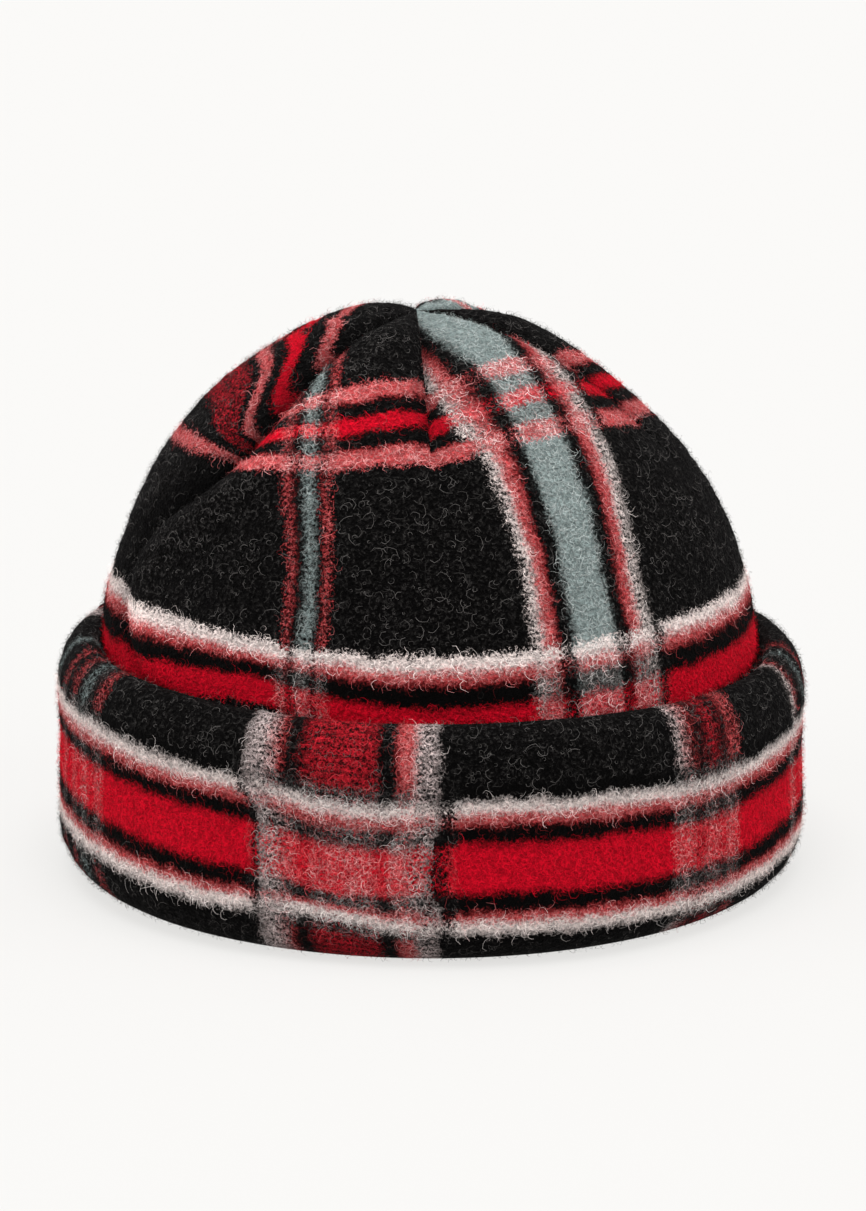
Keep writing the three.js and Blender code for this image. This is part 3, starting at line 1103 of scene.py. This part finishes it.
        # painted light: the colour is painted darker in the creases and dents, as painted shade, and lighter
        # on the bulge, as a painted highlight
        painted_light = np.clip(1 - 0.24 * sink, 0.0, 1.0) + 0.35 * bulge / 2.6 - 0.12 * np.maximum(dents, 0)
        points = points + normals * (overhang + near_apex * (bulge + puff) - sink - dents)[..., None]
        climb = np.maximum(0, (points[..., 2] - self.dome_base) / self.dome_rise)
        points[..., 0] += self.stands_off * ease(56, 77, points[..., 2]) + climb ** 3 * self.lean
        fabric = self.fabric(GRAINS[index], azimuth, level, ring, from_first)
        return points, normals, azimuth, width, fabric, painted_light

    @staticmethod
    def seam_allowance(root: Array, down: Array, away: Array, standing: Array, thin: Array) -> list[Array]:
        """The corners of a sewn edge that is turned into the hat.

        Args:
            root: The edge on the outer face.
            down: The way into the hat.
            away: The way off the other panel.
            standing: How far the edge stands in.
            thin: How thick the turned cloth is.

        Returns:
            Four lines of points: the outer edge, the two turned in, and the one on the inner face.
        """
        near, far = away * GAP / 2, away * (GAP / 2 + thin)
        turned_in = root - down * standing
        return [root + near, turned_in + near, turned_in + far, root - down * CLOTH + far]

    def panel(self, name: str, first_section: int) -> bpy.types.Object:
        """One of the two panels, three sections wide, its seam allowances turned into the hat.

        Args:
            name: The piece's name.
            first_section: The section it starts with.

        Returns:
            The panel.
        """
        levels = np.concatenate([
            np.linspace(0, self.wall_share, self.wall_rows, endpoint=False),
            np.linspace(self.wall_share, 1, self.rows - self.wall_rows),
        ])
        even = np.linspace(0, 1, self.columns + 1)
        crowded = even * 0.45 + (1 - np.cos(math.pi * even)) / 2 * 0.55
        parts = []
        for index in range(first_section, first_section + 3):
            shares = crowded if index == first_section + 2 else crowded[:-1]
            level, share = np.meshgrid(levels, shares, indexing="ij")
            parts.append(self.section(index, share, level))
        joined = (np.concatenate([part[at] for part in parts], 1) for at in range(6))
        points, normals, azimuth, width, fabric, painted_light = joined
        lift = brushed(points, 3.0 + first_section, 11.0 + first_section)
        near_edge = np.minimum(np.arange(points.shape[1]), np.arange(points.shape[1])[::-1])
        calm = ease(0, 6, near_edge)[None, :] * ease(0, 0.01, 1 - levels)[:, None]
        points = points + normals * (lift * calm)[..., None]
        middle = (CREASES[first_section].apex + CREASES[first_section + 3].apex) / 2
        off = np.array([*outward_at(middle), 0.0])
        points[-1, 1:-1] += off * GAP / 2
        standing = CLOTH + ease(0, 12, width[:, :1]) * self.allowance
        thin = np.minimum(CLOTH, self.thinning * width[:, :1])
        thin[-1] = 0.0
        edges = []
        for column, side in ((0, 90.0), (-1, -90.0)):
            away = np.stack([*outward_at(azimuth[:, column] + side), 0 * levels], -1)
            away[-1] = off
            edges.append(self.seam_allowance(points[:, column], normals[:, column], away, standing, thin))
        near, far = edges
        outer = np.concatenate([near[0][:, None], points[:, 1:-1], far[0][:, None]], 1)
        inside = points[:, 1:-1] - normals[:, 1:-1] * CLOTH
        inner = np.concatenate([near[3][:, None], inside, far[3][:, None]], 1)
        loop = np.concatenate([
            outer, far[1][:, None], far[2][:, None], inner[:, ::-1], near[2][:, None], near[1][:, None],
        ], 1)
        fabric_loop = np.concatenate([
            fabric, fabric[:, -1:], fabric[:, -1:], fabric[:, ::-1], fabric[:, :1], fabric[:, :1],
        ], 1)
        count = outer.shape[1]
        pile = np.zeros(loop.shape[:2])
        pile[:, :count] = ease(54, 60, outer[..., 2]) * ease(0, 0.02, 1 - levels)[:, None]
        # painted light: the inner face and the seam allowances are painted a little darker, as painted shade
        # inside the hat, and the outer face takes the sections' painted light
        painted_lights = np.full(loop.shape[:2], 0.8)
        painted_lights[:, :count] = painted_light
        caps = [(at, 2 * count + 1 - at, 2 * count - at, at + 1) for at in range(count - 1)]
        caps.append((0, 2 * count + 3, 2 * count + 2, 2 * count + 1))
        caps.append((count - 1, count + 2, count + 1, count))
        sheet = Sheet(loop, fabric_loop, {"pile": pile, "painted_light": painted_lights})
        return sheet.make(name, closes=False, caps=caps)


# ---------------------------------------------------------------- the cuff


@dataclass(frozen=True)
class Cuff:
    """The cuff: a band folded double and turned up, its foot turned in under the crown."""

    half_width: float = 93.0
    half_depth: float = 90.2
    columns: int = 330
    steps: int = 66
    radius: float = 105.0  # of the outer ply, along which the warp is measured
    line: tuple[tuple[float, float], ...] = (  # out from the crown's wall, and height
        (1.65, 3), (1.65, 27), (1.7, 53), (2.2, 60.6), (3.6, 64), (6.2, 64.8), (9.2, 62.7), (11.6, 58.6),
        (12.8, 52), (12.2, 41), (12.5, 28), (12.9, 16), (11.9, 9.2), (8.9, 4.5), (5.2, 1.95), (2, 1.25),
        (0, 1.25), (-2.5, 1.25),
    )
    roll_waves: tuple[tuple[int, float, float], ...] = ((1, 1.6, -60), (5, 0.35, 20))  # count, height, crest
    side_waves: tuple[tuple[int, float, float], ...] = ((1, 0.3, -90), (4, 0.4, 30), (6, 0.3, 75))
    leans: tuple[tuple[float, ...], ...] = (  # azimuth, spread, shift, and from where to where down the cuff
        (-27, 12, -4.5, 24, 200), (-3, 6, 3.2, 27, 48),
    )
    drifts: tuple[tuple[float, float], ...] = (  # azimuth, and how far the weft has slipped down there
        (-110, -6.6), (-89, -7.3), (-75, -6.5), (-58, -5.4), (-50, -4.5), (-42, -3.6), (-33, -2.9),
        (-24, -2.2), (-16, 1.6), (-8, 2.0), (0, 0.9), (8, 0.0), (24, 0.5), (36, 1.3), (43, 1.8), (50, 1.2),
        (56, 0.7), (67, -1.0), (80, -1.4), (90, -2.0), (130, 0.0), (200, 0.0),
    )
    broad_stripe: float = -15.0  # the azimuth of the broad stripe's middle
    tuck: float = 4.2  # how far the lower rows ride up where it crosses them
    join: float = 1.2  # how deep the closing join at the back lies

    def waves(self, table: tuple[tuple[int, float, float], ...], azimuth: Array) -> Array:
        """The sum of some slow waves round the cuff."""
        return sum(height * np.cos(count * np.radians(azimuth - crest)) for count, height, crest in table)

    def smooth_line(self) -> tuple[Array, Array]:
        """The middle line of the cloth's section, evenly stepped, and the way along it from the crest."""
        corners = np.array(self.line, float)
        before = np.concatenate([corners[:1] * 2 - corners[1:2], corners[:-1]])
        after = np.concatenate([corners[1:], corners[-1:] * 2 - corners[-2:-1]])
        last = np.concatenate([after[1:], after[-1:] * 2 - after[-2:-1]])
        steps = np.linspace(0, 1, 24, endpoint=False)[:, None, None]
        p0, p1, p2, p3 = before[:-1], corners[:-1], corners[1:], last[:-1]
        curve = 0.5 * (
            2 * p1 + (p2 - p0) * steps + (2 * p0 - 5 * p1 + 4 * p2 - p3) * steps ** 2
            + (3 * p1 - p0 - 3 * p2 + p3) * steps ** 3
        )
        curve = np.concatenate([curve.transpose(1, 0, 2).reshape(-1, 2), corners[-1:]])
        way = np.concatenate([[0], np.cumsum(np.linalg.norm(np.diff(curve, axis=0), axis=1))])
        even = np.linspace(0, way[-1], self.steps)
        line = np.stack([np.interp(even, way, curve[:, 0]), np.interp(even, way, curve[:, 1])], -1)
        return line, even - even[np.argmax(line[:, 1])]

    def drift(self, azimuth: Array) -> Array:
        """How far the weft has slipped down.

        Args:
            azimuth: Degrees from the front, positive toward +X.

        Returns:
            Millimetres at each azimuth, smoothed between the table's rows.
        """
        table = np.array(self.drifts, float)
        first = table[0, 0]
        azimuths = np.concatenate([table[:, 0], [first + 360]])
        slips = np.concatenate([table[:, 1], [table[0, 1]]])
        spread = np.arange(-9, 10, 1.5)
        weights = hump(spread, 4.5) / hump(spread, 4.5).sum()
        return sum(
            weight * np.interp(np.mod(azimuth + shift - first, 360.0) + first, azimuths, slips)
            for shift, weight in zip(spread, weights)
        )

    def build(self, name: str) -> bpy.types.Object:
        """The cuff.

        Args:
            name: The piece's name.

        Returns:
            The closed ring.
        """
        line, way = self.smooth_line()
        azimuth = np.arange(self.columns) * 360.0 / self.columns - 180.0
        out, height = line[None, :, 0], line[None, :, 1]
        free = ease(0, 12, height) * ease(CLOTH, 6.2, out)
        lift = ease(0, 64.8, height) * ease(0, CLOTH, out)
        join = self.join * hump(turn_between(azimuth, 180.0), 3.5)
        out = out + free * (self.waves(self.side_waves, azimuth) - join)[:, None]
        height = height + lift * self.waves(self.roll_waves, azimuth)[:, None]
        place = np.stack([out, height], -1)
        along = unit(np.gradient(place, axis=1))
        facing = np.stack([-along[..., 1], along[..., 0]], -1)
        across, deep = outward_at(azimuth)
        wall = np.stack([self.half_width * across, self.half_depth * deep], -1)
        outward = unit(np.stack([across / self.half_width, deep / self.half_depth], -1))

        def lay(sheet: Array) -> Array:
            """Stands a section's points round the oval."""
            flat = wall[:, None] + outward[:, None] * sheet[..., :1]
            return np.concatenate([flat, sheet[..., 1:]], -1)

        outer = lay(place + facing * CLOTH / 2)
        inner = lay(place - facing * CLOTH / 2)
        normal = unit(np.concatenate([outward[:, None] * facing[..., :1], facing[..., 1:]], -1))
        calm = ease(1.5, 9, outer[..., 2]) * ease(4.0, 8.0, place[..., 0])
        outer = outer + normal * (brushed(outer, 21.0, 31.0) * calm)[..., None]
        slip = self.drift(azimuth)[:, None]
        down = way[None, :] - slip * ease(2, 16, way)[None, :]
        crossing = hump(turn_between(azimuth, self.broad_stripe), 11.0)[:, None]
        down = down + self.tuck * crossing * ease(46, 53, down)
        leaning = sum(
            shift * hump(turn_between(azimuth, middle), spread)[:, None] * ease(first, first + 8, down)
            * (1 - ease(last - 2, last + 5, down))
            for middle, spread, shift, first, last in self.leans
        )
        fabric = np.stack([self.radius * np.radians(azimuth)[:, None] + leaning, down], -1)
        loop = np.concatenate([outer, inner[:, ::-1]], 1)
        fabric_loop = np.concatenate([fabric, fabric[:, ::-1]], 1)
        grown = ease(-9, -5, way)[None, :] * ease(0.8, 2.5, outer[..., 2])
        grown = np.concatenate([grown, 0 * grown], 1)
        front = (loop[..., 1] < 0).astype(float)
        # painted light: the outer face is painted darker toward the cuff's foot by the floor, and the inner
        # face a little darker, as painted shade
        painted_light = np.concatenate([1 - 0.45 * ease(56, 68, way), 0.8 + 0 * way])
        painted_lights = np.ones(loop.shape[:2]) * painted_light[None, :]
        sheet = Sheet(loop, fabric_loop, {
            "pile_front": grown * front,
            "pile_back": grown * (1 - front),
            "painted_light": painted_lights,
        })
        return sheet.make(name, closes=True)


# ---------------------------------------------------------------- loose hair


@dataclass(frozen=True)
class Fleece:
    """Curled hairs that grow out of a piece, made by a Geometry Nodes tree."""

    count: int  # how many hairs are wanted
    steps: int = 4  # pieces along each hair
    width: float = 0.125
    least_curl: float = 0.4  # the smallest radius of a curl
    most_curl: float = 2.2  # the largest
    rise: float = 0.32  # how far the hairs lift off the cloth
    seed: int = 1
    spent: tuple[str, ...] = (  # what the finished hairs have no use for
        "facing", "along", "turn", "pile", "pile_front", "pile_back", FABRIC, BAKE,
    )

    def tree(self, pile: str, material: bpy.types.Material) -> bpy.types.NodeTree:
        """The tree that grows the hairs.

        Args:
            pile: The attribute that says how thickly they grow.
            material: Their finish.

        Returns:
            The tree, with its inputs named.
        """
        tree = bpy.data.node_groups.new("grow hair", "GeometryNodeTree")
        face = tree.interface
        face.new_socket("Geometry", in_out="INPUT", socket_type="NodeSocketGeometry")
        measures = ("Density", "Width", "Least curl", "Most curl", "Rise")
        for name in measures:
            face.new_socket(name, in_out="INPUT", socket_type="NodeSocketFloat")
        face.new_socket("Seed", in_out="INPUT", socket_type="NodeSocketInt")
        face.new_socket("Geometry", in_out="OUTPUT", socket_type="NodeSocketGeometry")
        graph = Graph(tree)
        given = graph.node("NodeGroupInput")
        inlet = {name: graph.out(given, name) for name in ("Geometry", *measures, "Seed")}
        grown = self.attribute(graph, pile, "FLOAT")
        spread = graph.node("GeometryNodeDistributePointsOnFaces", {"distribute_method": "RANDOM"}, {
            "Mesh": inlet["Geometry"],
            "Density": grown * inlet["Density"],
            "Seed": inlet["Seed"],
        })
        points = graph.out(spread, "Points")
        stored = {
            "root": graph.read("GeometryNodeInputPosition"),
            "facing": graph.out(spread, "Normal"),
            "fabric": self.attribute(graph, FABRIC, "FLOAT_VECTOR"),
            "chance": self.chance(graph, inlet["Seed"], 0.0, 1.0, 1),
            "turn": self.chance(graph, inlet["Seed"], -1.0, 1.0, 2),
        }
        for name, value in stored.items():
            points = self.store(graph, points, name, value)
        ribbon = graph.node("GeometryNodeMeshGrid", None, {
            "Size X": 1.0, "Size Y": 1.0, "Vertices X": 2, "Vertices Y": self.steps + 1,
        })
        along = graph.read("GeometryNodeInputPosition")
        strip = self.store(graph, graph.out(ribbon, "Mesh"), "along", along)
        hairs = graph.read("GeometryNodeInstanceOnPoints", 0, {"Points": points, "Instance": strip})
        hairs = graph.read("GeometryNodeRealizeInstances", 0, {"Geometry": hairs})
        bent = {"Geometry": hairs, "Position": self.curl(graph, inlet)}
        dressed = {"Geometry": graph.read("GeometryNodeSetPosition", 0, bent), "Material": material}
        graph.node("NodeGroupOutput", None, {"Geometry": graph.read("GeometryNodeSetMaterial", 0, dressed)})
        return tree

    @staticmethod
    def attribute(graph: Graph, name: str, kind: str) -> Value:
        """A named attribute of the geometry."""
        return graph.read("GeometryNodeInputNamedAttribute", "Attribute", {"Name": name}, data_type=kind)

    @staticmethod
    def store(graph: Graph, geometry: Value, name: str, value: Value) -> Value:
        """Keeps a vector on the geometry's points.

        Args:
            graph: The tree's graph.
            geometry: The geometry.
            name: The vector's name.
            value: The vector.

        Returns:
            The geometry that carries it.
        """
        sockets = {"Geometry": geometry, "Name": name, "Value": value}
        kind = {"data_type": "FLOAT_VECTOR", "domain": "POINT"}
        return graph.read("GeometryNodeStoreNamedAttribute", "Geometry", sockets, **kind)

    @staticmethod
    def chance(graph: Graph, seed: Value, low: float, high: float, which: int) -> Value:
        """Three random numbers for each hair, one of many such sets for a seed."""
        sockets = {"Min": (low,) * 3, "Max": (high,) * 3, "Seed": seed + float(which)}
        return graph.read("FunctionNodeRandomValue", "Value", sockets, data_type="FLOAT_VECTOR")

    def curl(self, graph: Graph, inlet: dict[str, Value]) -> Value:
        """Bends a straight ribbon into a hair, round a tilted circle that starts at its root.

        Args:
            graph: The tree's graph.
            inlet: The tree's inputs by name.

        Returns:
            Where each corner of the ribbon goes.
        """
        carried = ("root", "facing", "along", "chance", "turn")
        root, facing, along, chance, turn = (self.attribute(graph, name, "FLOAT_VECTOR") for name in carried)
        side, way, _ = graph.split(along)
        way = way + 0.5
        reach, sweep_chance, lift_chance = graph.split(chance)
        start = graph.vector("NORMALIZE", graph.vector("CROSS_PRODUCT", facing, turn))
        across = graph.vector("CROSS_PRODUCT", facing, start)
        tilt = lift_chance * (0.85 - reach * 0.55)
        leaning = across * graph.math("COSINE", tilt) + facing * graph.math("SINE", tilt)
        radius = inlet["Least curl"] + (inlet["Most curl"] - inlet["Least curl"]) * (reach * reach)
        sweep = (sweep_chance * 2.8 + 1.6) * (1.2 - reach * 0.6)
        angle = sweep * way
        taper = 1.0 - way * 0.65
        width = inlet["Width"] * taper
        wobble = graph.math("SINE", way * 7.0 + sweep_chance * 40.0) * radius * 0.16
        far = radius + side * width + wobble
        sine, cosine = graph.math("SINE", angle), graph.math("COSINE", angle)
        lifted = way * (2.0 - way) * inlet["Rise"] * (lift_chance + 0.15) + 0.0001
        place = root + start * (far * sine) + leaning * (radius - far * cosine) + facing * lifted
        x, y, height = graph.split(place)
        return graph.join(x, y, graph.math("MAXIMUM", height, LEAST_HEIGHT))

    def grow(
        self, piece: bpy.types.Object, pile: str, name: str, material: bpy.types.Material
    ) -> bpy.types.Object:
        """Grows the hairs on a piece.

        Args:
            piece: The piece they grow on.
            pile: The piece's attribute that says how thickly they grow.
            name: The new piece's name.
            material: Their finish.

        Returns:
            The hairs, as a plain mesh.
        """
        area = self.area(piece, pile)
        bed = bpy.data.objects.new("hair bed", piece.data)
        bpy.context.scene.collection.objects.link(bed)
        modifier = bed.modifiers.new("hair", "NODES")
        tree = self.tree(pile, material)
        modifier.node_group = tree
        values = {
            "Density": self.count / area,
            "Width": self.width * MM,
            "Least curl": self.least_curl * MM,
            "Most curl": self.most_curl * MM,
            "Rise": self.rise * MM,
            "Seed": self.seed,
        }
        for socket in tree.interface.items_tree:
            if socket.in_out == "INPUT" and socket.name in values:
                modifier[socket.identifier] = values[socket.name]
        evaluated = bed.evaluated_get(bpy.context.evaluated_depsgraph_get())
        mesh = bpy.data.meshes.new_from_object(evaluated)
        bpy.data.objects.remove(bed)
        mesh.name = name
        for spent in self.spent:
            if spent in mesh.attributes:
                mesh.attributes.remove(mesh.attributes[spent])
        self.lay_bake_map(mesh)
        made = bpy.data.objects.new(name, mesh)
        bpy.context.scene.collection.objects.link(made)
        return made

    @staticmethod
    def area(piece: bpy.types.Object, pile: str) -> float:
        """The area on which hair grows.

        Args:
            piece: The piece.
            pile: Its attribute that says how thickly they grow.

        Returns:
            Square metres, weighed by how thickly.
        """
        mesh = piece.data
        weights = np.empty(len(mesh.vertices), np.float32)
        mesh.attributes[pile].data.foreach_get("value", weights)
        return sum(face.area * weights[list(face.vertices)].mean() for face in mesh.polygons)

    def lay_bake_map(self, mesh: bpy.types.Mesh) -> None:
        """Gives each hair a cell of its own in the bake map.

        Args:
            mesh: The hairs.
        """
        corners = np.empty(len(mesh.loops), np.int32)
        mesh.loops.foreach_get("vertex_index", corners)
        per_hair = 2 * (self.steps + 1)
        hair, within = np.divmod(corners, per_hair)
        cells = math.ceil(math.sqrt(len(mesh.vertices) / per_hair))
        step, side = np.divmod(within, 2)
        local = np.stack([0.25 + 0.5 * side, 0.12 + 0.76 * step / self.steps], -1)
        cell = np.stack([hair % cells, hair // cells], -1)
        layer = mesh.uv_layers.new(name=BAKE)
        layer.data.foreach_set("uv", ((cell + local) / cells).astype(np.float32).ravel())


# ---------------------------------------------------------------- the studio


@dataclass(frozen=True)
class Studio:
    """A pale floor under soft light, and the camera."""

    elevation: float = 15.0
    distance: float = 1.5
    target: tuple[float, float, float] = (0.0003, 0.0, 0.0744)
    lens: float = 156.07
    floor_size: float = 60.0

    def floor(self) -> bpy.types.Object:
        """The floor that the hat stands on."""
        half = self.floor_size / 2
        mesh = bpy.data.meshes.new("floor")
        corners = [(-half, -half, 0), (half, -half, 0), (half, half, 0), (-half, half, 0)]
        mesh.from_pydata(corners, [], [(0, 1, 2, 3)])
        finish = Finish("floor paper")
        place = finish.graph.read("ShaderNodeTexCoord", "Object")
        grain = finish.graph.noise(place, 900.0, 3.0)
        color = finish.graph.mix(grain, (0.110, 0.1095, 0.1090), (0.116, 0.1155, 0.1150))
        finish.surface({
            "Base Color": color,
            "Roughness": 0.9,
            "Specular IOR Level": 0.0,
            "Emission Color": (1.0, 0.99, 0.97, 1.0),
            "Emission Strength": 0.706,
        })
        mesh.materials.append(finish.material)
        made = bpy.data.objects.new("floor", mesh)
        bpy.context.scene.collection.objects.link(made)
        return made

    def lamp(self, name: str, toward: tuple[float, float, float], softness: float, strength: float) -> None:
        """An even soft light from one side.

        Args:
            name: Its name.
            toward: The way from the hat to the light.
            softness: How wide the light is, in degrees, as the hat sees it.
            strength: Its strength.
        """
        data = bpy.data.lights.new(name, "SUN")
        data.angle = math.radians(softness)
        data.energy = strength
        made = bpy.data.objects.new(name, data)
        made.location = toward
        made.rotation_euler = (-Vector(toward)).to_track_quat("-Z", "Y").to_euler()
        bpy.context.scene.collection.objects.link(made)

    def sky(self, strength: float) -> None:
        """Sets an even pale surround.

        Args:
            strength: Its strength.
        """
        world = bpy.data.worlds.new("studio")
        world.use_nodes = True
        background = world.node_tree.nodes["Background"]
        background.inputs["Color"].default_value = (1.0, 0.995, 0.985, 1.0)
        background.inputs["Strength"].default_value = strength
        bpy.context.scene.world = world

    def camera(self) -> None:
        """The camera, in front of the hat and a little above it."""
        lens = bpy.data.cameras.new("camera")
        lens.lens = self.lens
        lens.sensor_fit = "VERTICAL"
        lens.sensor_height = 36.0
        lens.clip_end = 50.0
        made = bpy.data.objects.new("camera", lens)
        rise = math.radians(self.elevation)
        target = Vector(self.target)
        made.location = target + Vector((0, -math.cos(rise), math.sin(rise))) * self.distance
        made.rotation_euler = (target - made.location).to_track_quat("-Z", "Y").to_euler()
        bpy.context.scene.collection.objects.link(made)
        bpy.context.scene.camera = made

    def build(self) -> bpy.types.Object:
        """Sets up the studio and gives back its floor."""
        self.sky(0.950)
        self.lamp("key", (-0.2, -0.9, 6.0), 42.0, 3.3)
        self.lamp("left fill", (-5.2, -1.4, 2.3), 40.0, 1.15)
        self.lamp("right fill", (5.2, -1.4, 2.3), 40.0, 1.15)
        self.camera()
        scene = bpy.context.scene
        scene.view_settings.view_transform = "Standard"
        scene.view_settings.look = "None"
        return self.floor()


# ---------------------------------------------------------------- the hat


@dataclass(frozen=True)
class ClothPiece:
    """A piece of cloth."""

    name: str
    node: str  # the solid it stands for
    slot: str
    plaid: Plaid
    flat: tuple[float, float]  # the cloth it is cut from, in metres
    area: float  # what is left of that, in square metres
    held: str


FRONT = ClothPiece(
    name="crown_front_cloth",
    node="crown_front_panel",
    slot="crown_front_wool",
    plaid=FRONT_PLAID,
    flat=(0.30, 0.215),
    area=0.044,
    held="stretched",
)
BACK = ClothPiece(
    name="crown_back_cloth",
    node="crown_back_panel",
    slot="crown_back_wool",
    plaid=BACK_PLAID,
    flat=(0.30, 0.215),
    area=0.043,
    held="stretched",
)
CUFF = ClothPiece(
    name="cuff_cloth",
    node="cuff_band",
    slot="cuff_wool",
    plaid=CUFF_PLAID,
    flat=(0.64, 0.137),
    area=0.0877,
    held="folded",
)


class Beanie:
    """The whole hat."""

    def __init__(self) -> None:
        """Starts with no pieces."""
        self.cloth: dict[str, bpy.types.Object] = {}

    def dress(self, piece: bpy.types.Object, plan: ClothPiece) -> None:
        """Gives a piece of cloth its finish, puts it in place of its solid and logs its faces.

        Args:
            piece: The piece.
            plan: Its plan.
        """
        piece.data.materials.append(BrushedWool(plan.plaid).make(f"{plan.name}_wool"))
        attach(piece, "root")
        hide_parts(plan.node)
        self.cloth[plan.name] = piece
        LOG.info("%s: %d faces", plan.name, len(piece.data.polygons))

    def grow(self, plan: ClothPiece, pile: str, name: str, fleece: Fleece) -> None:
        """Grows hair on a piece of cloth.

        Args:
            plan: The cloth's plan.
            pile: Its attribute that says how thickly the hair grows.
            name: The hair's name.
            fleece: The hair.
        """
        material = LooseHair(plan.plaid).make(f"{name}_wool")
        hairs = fleece.grow(self.cloth[plan.name], pile, name, material)
        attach(hairs, "root")
        LOG.info("%s: %d faces", name, len(hairs.data.polygons))

    def build(self, floor: bpy.types.Object) -> None:
        """Builds every piece of the hat.

        Args:
            floor: What it stands on; not used.
        """
        crown, cuff = Crown(), Cuff()
        self.dress(cuff.build(CUFF.name), CUFF)
        self.dress(crown.panel(FRONT.name, 0), FRONT)
        self.dress(crown.panel(BACK.name, 3), BACK)
        self.grow(FRONT, "pile", "crown_front_hair", Fleece(count=22000, seed=11))
        self.grow(BACK, "pile", "crown_back_hair", Fleece(count=21000, seed=23))
        self.grow(CUFF, "pile_front", "cuff_front_hair", Fleece(count=22500, seed=37))
        self.grow(CUFF, "pile_back", "cuff_back_hair", Fleece(count=21000, seed=41))


def main() -> None:
    """Builds the studio and the hat."""
    logging.basicConfig(level=logging.INFO, format="%(name)s: %(message)s")
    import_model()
    floor = Studio().build()
    Beanie().build(floor)


if __name__ == "__main__":
    main()
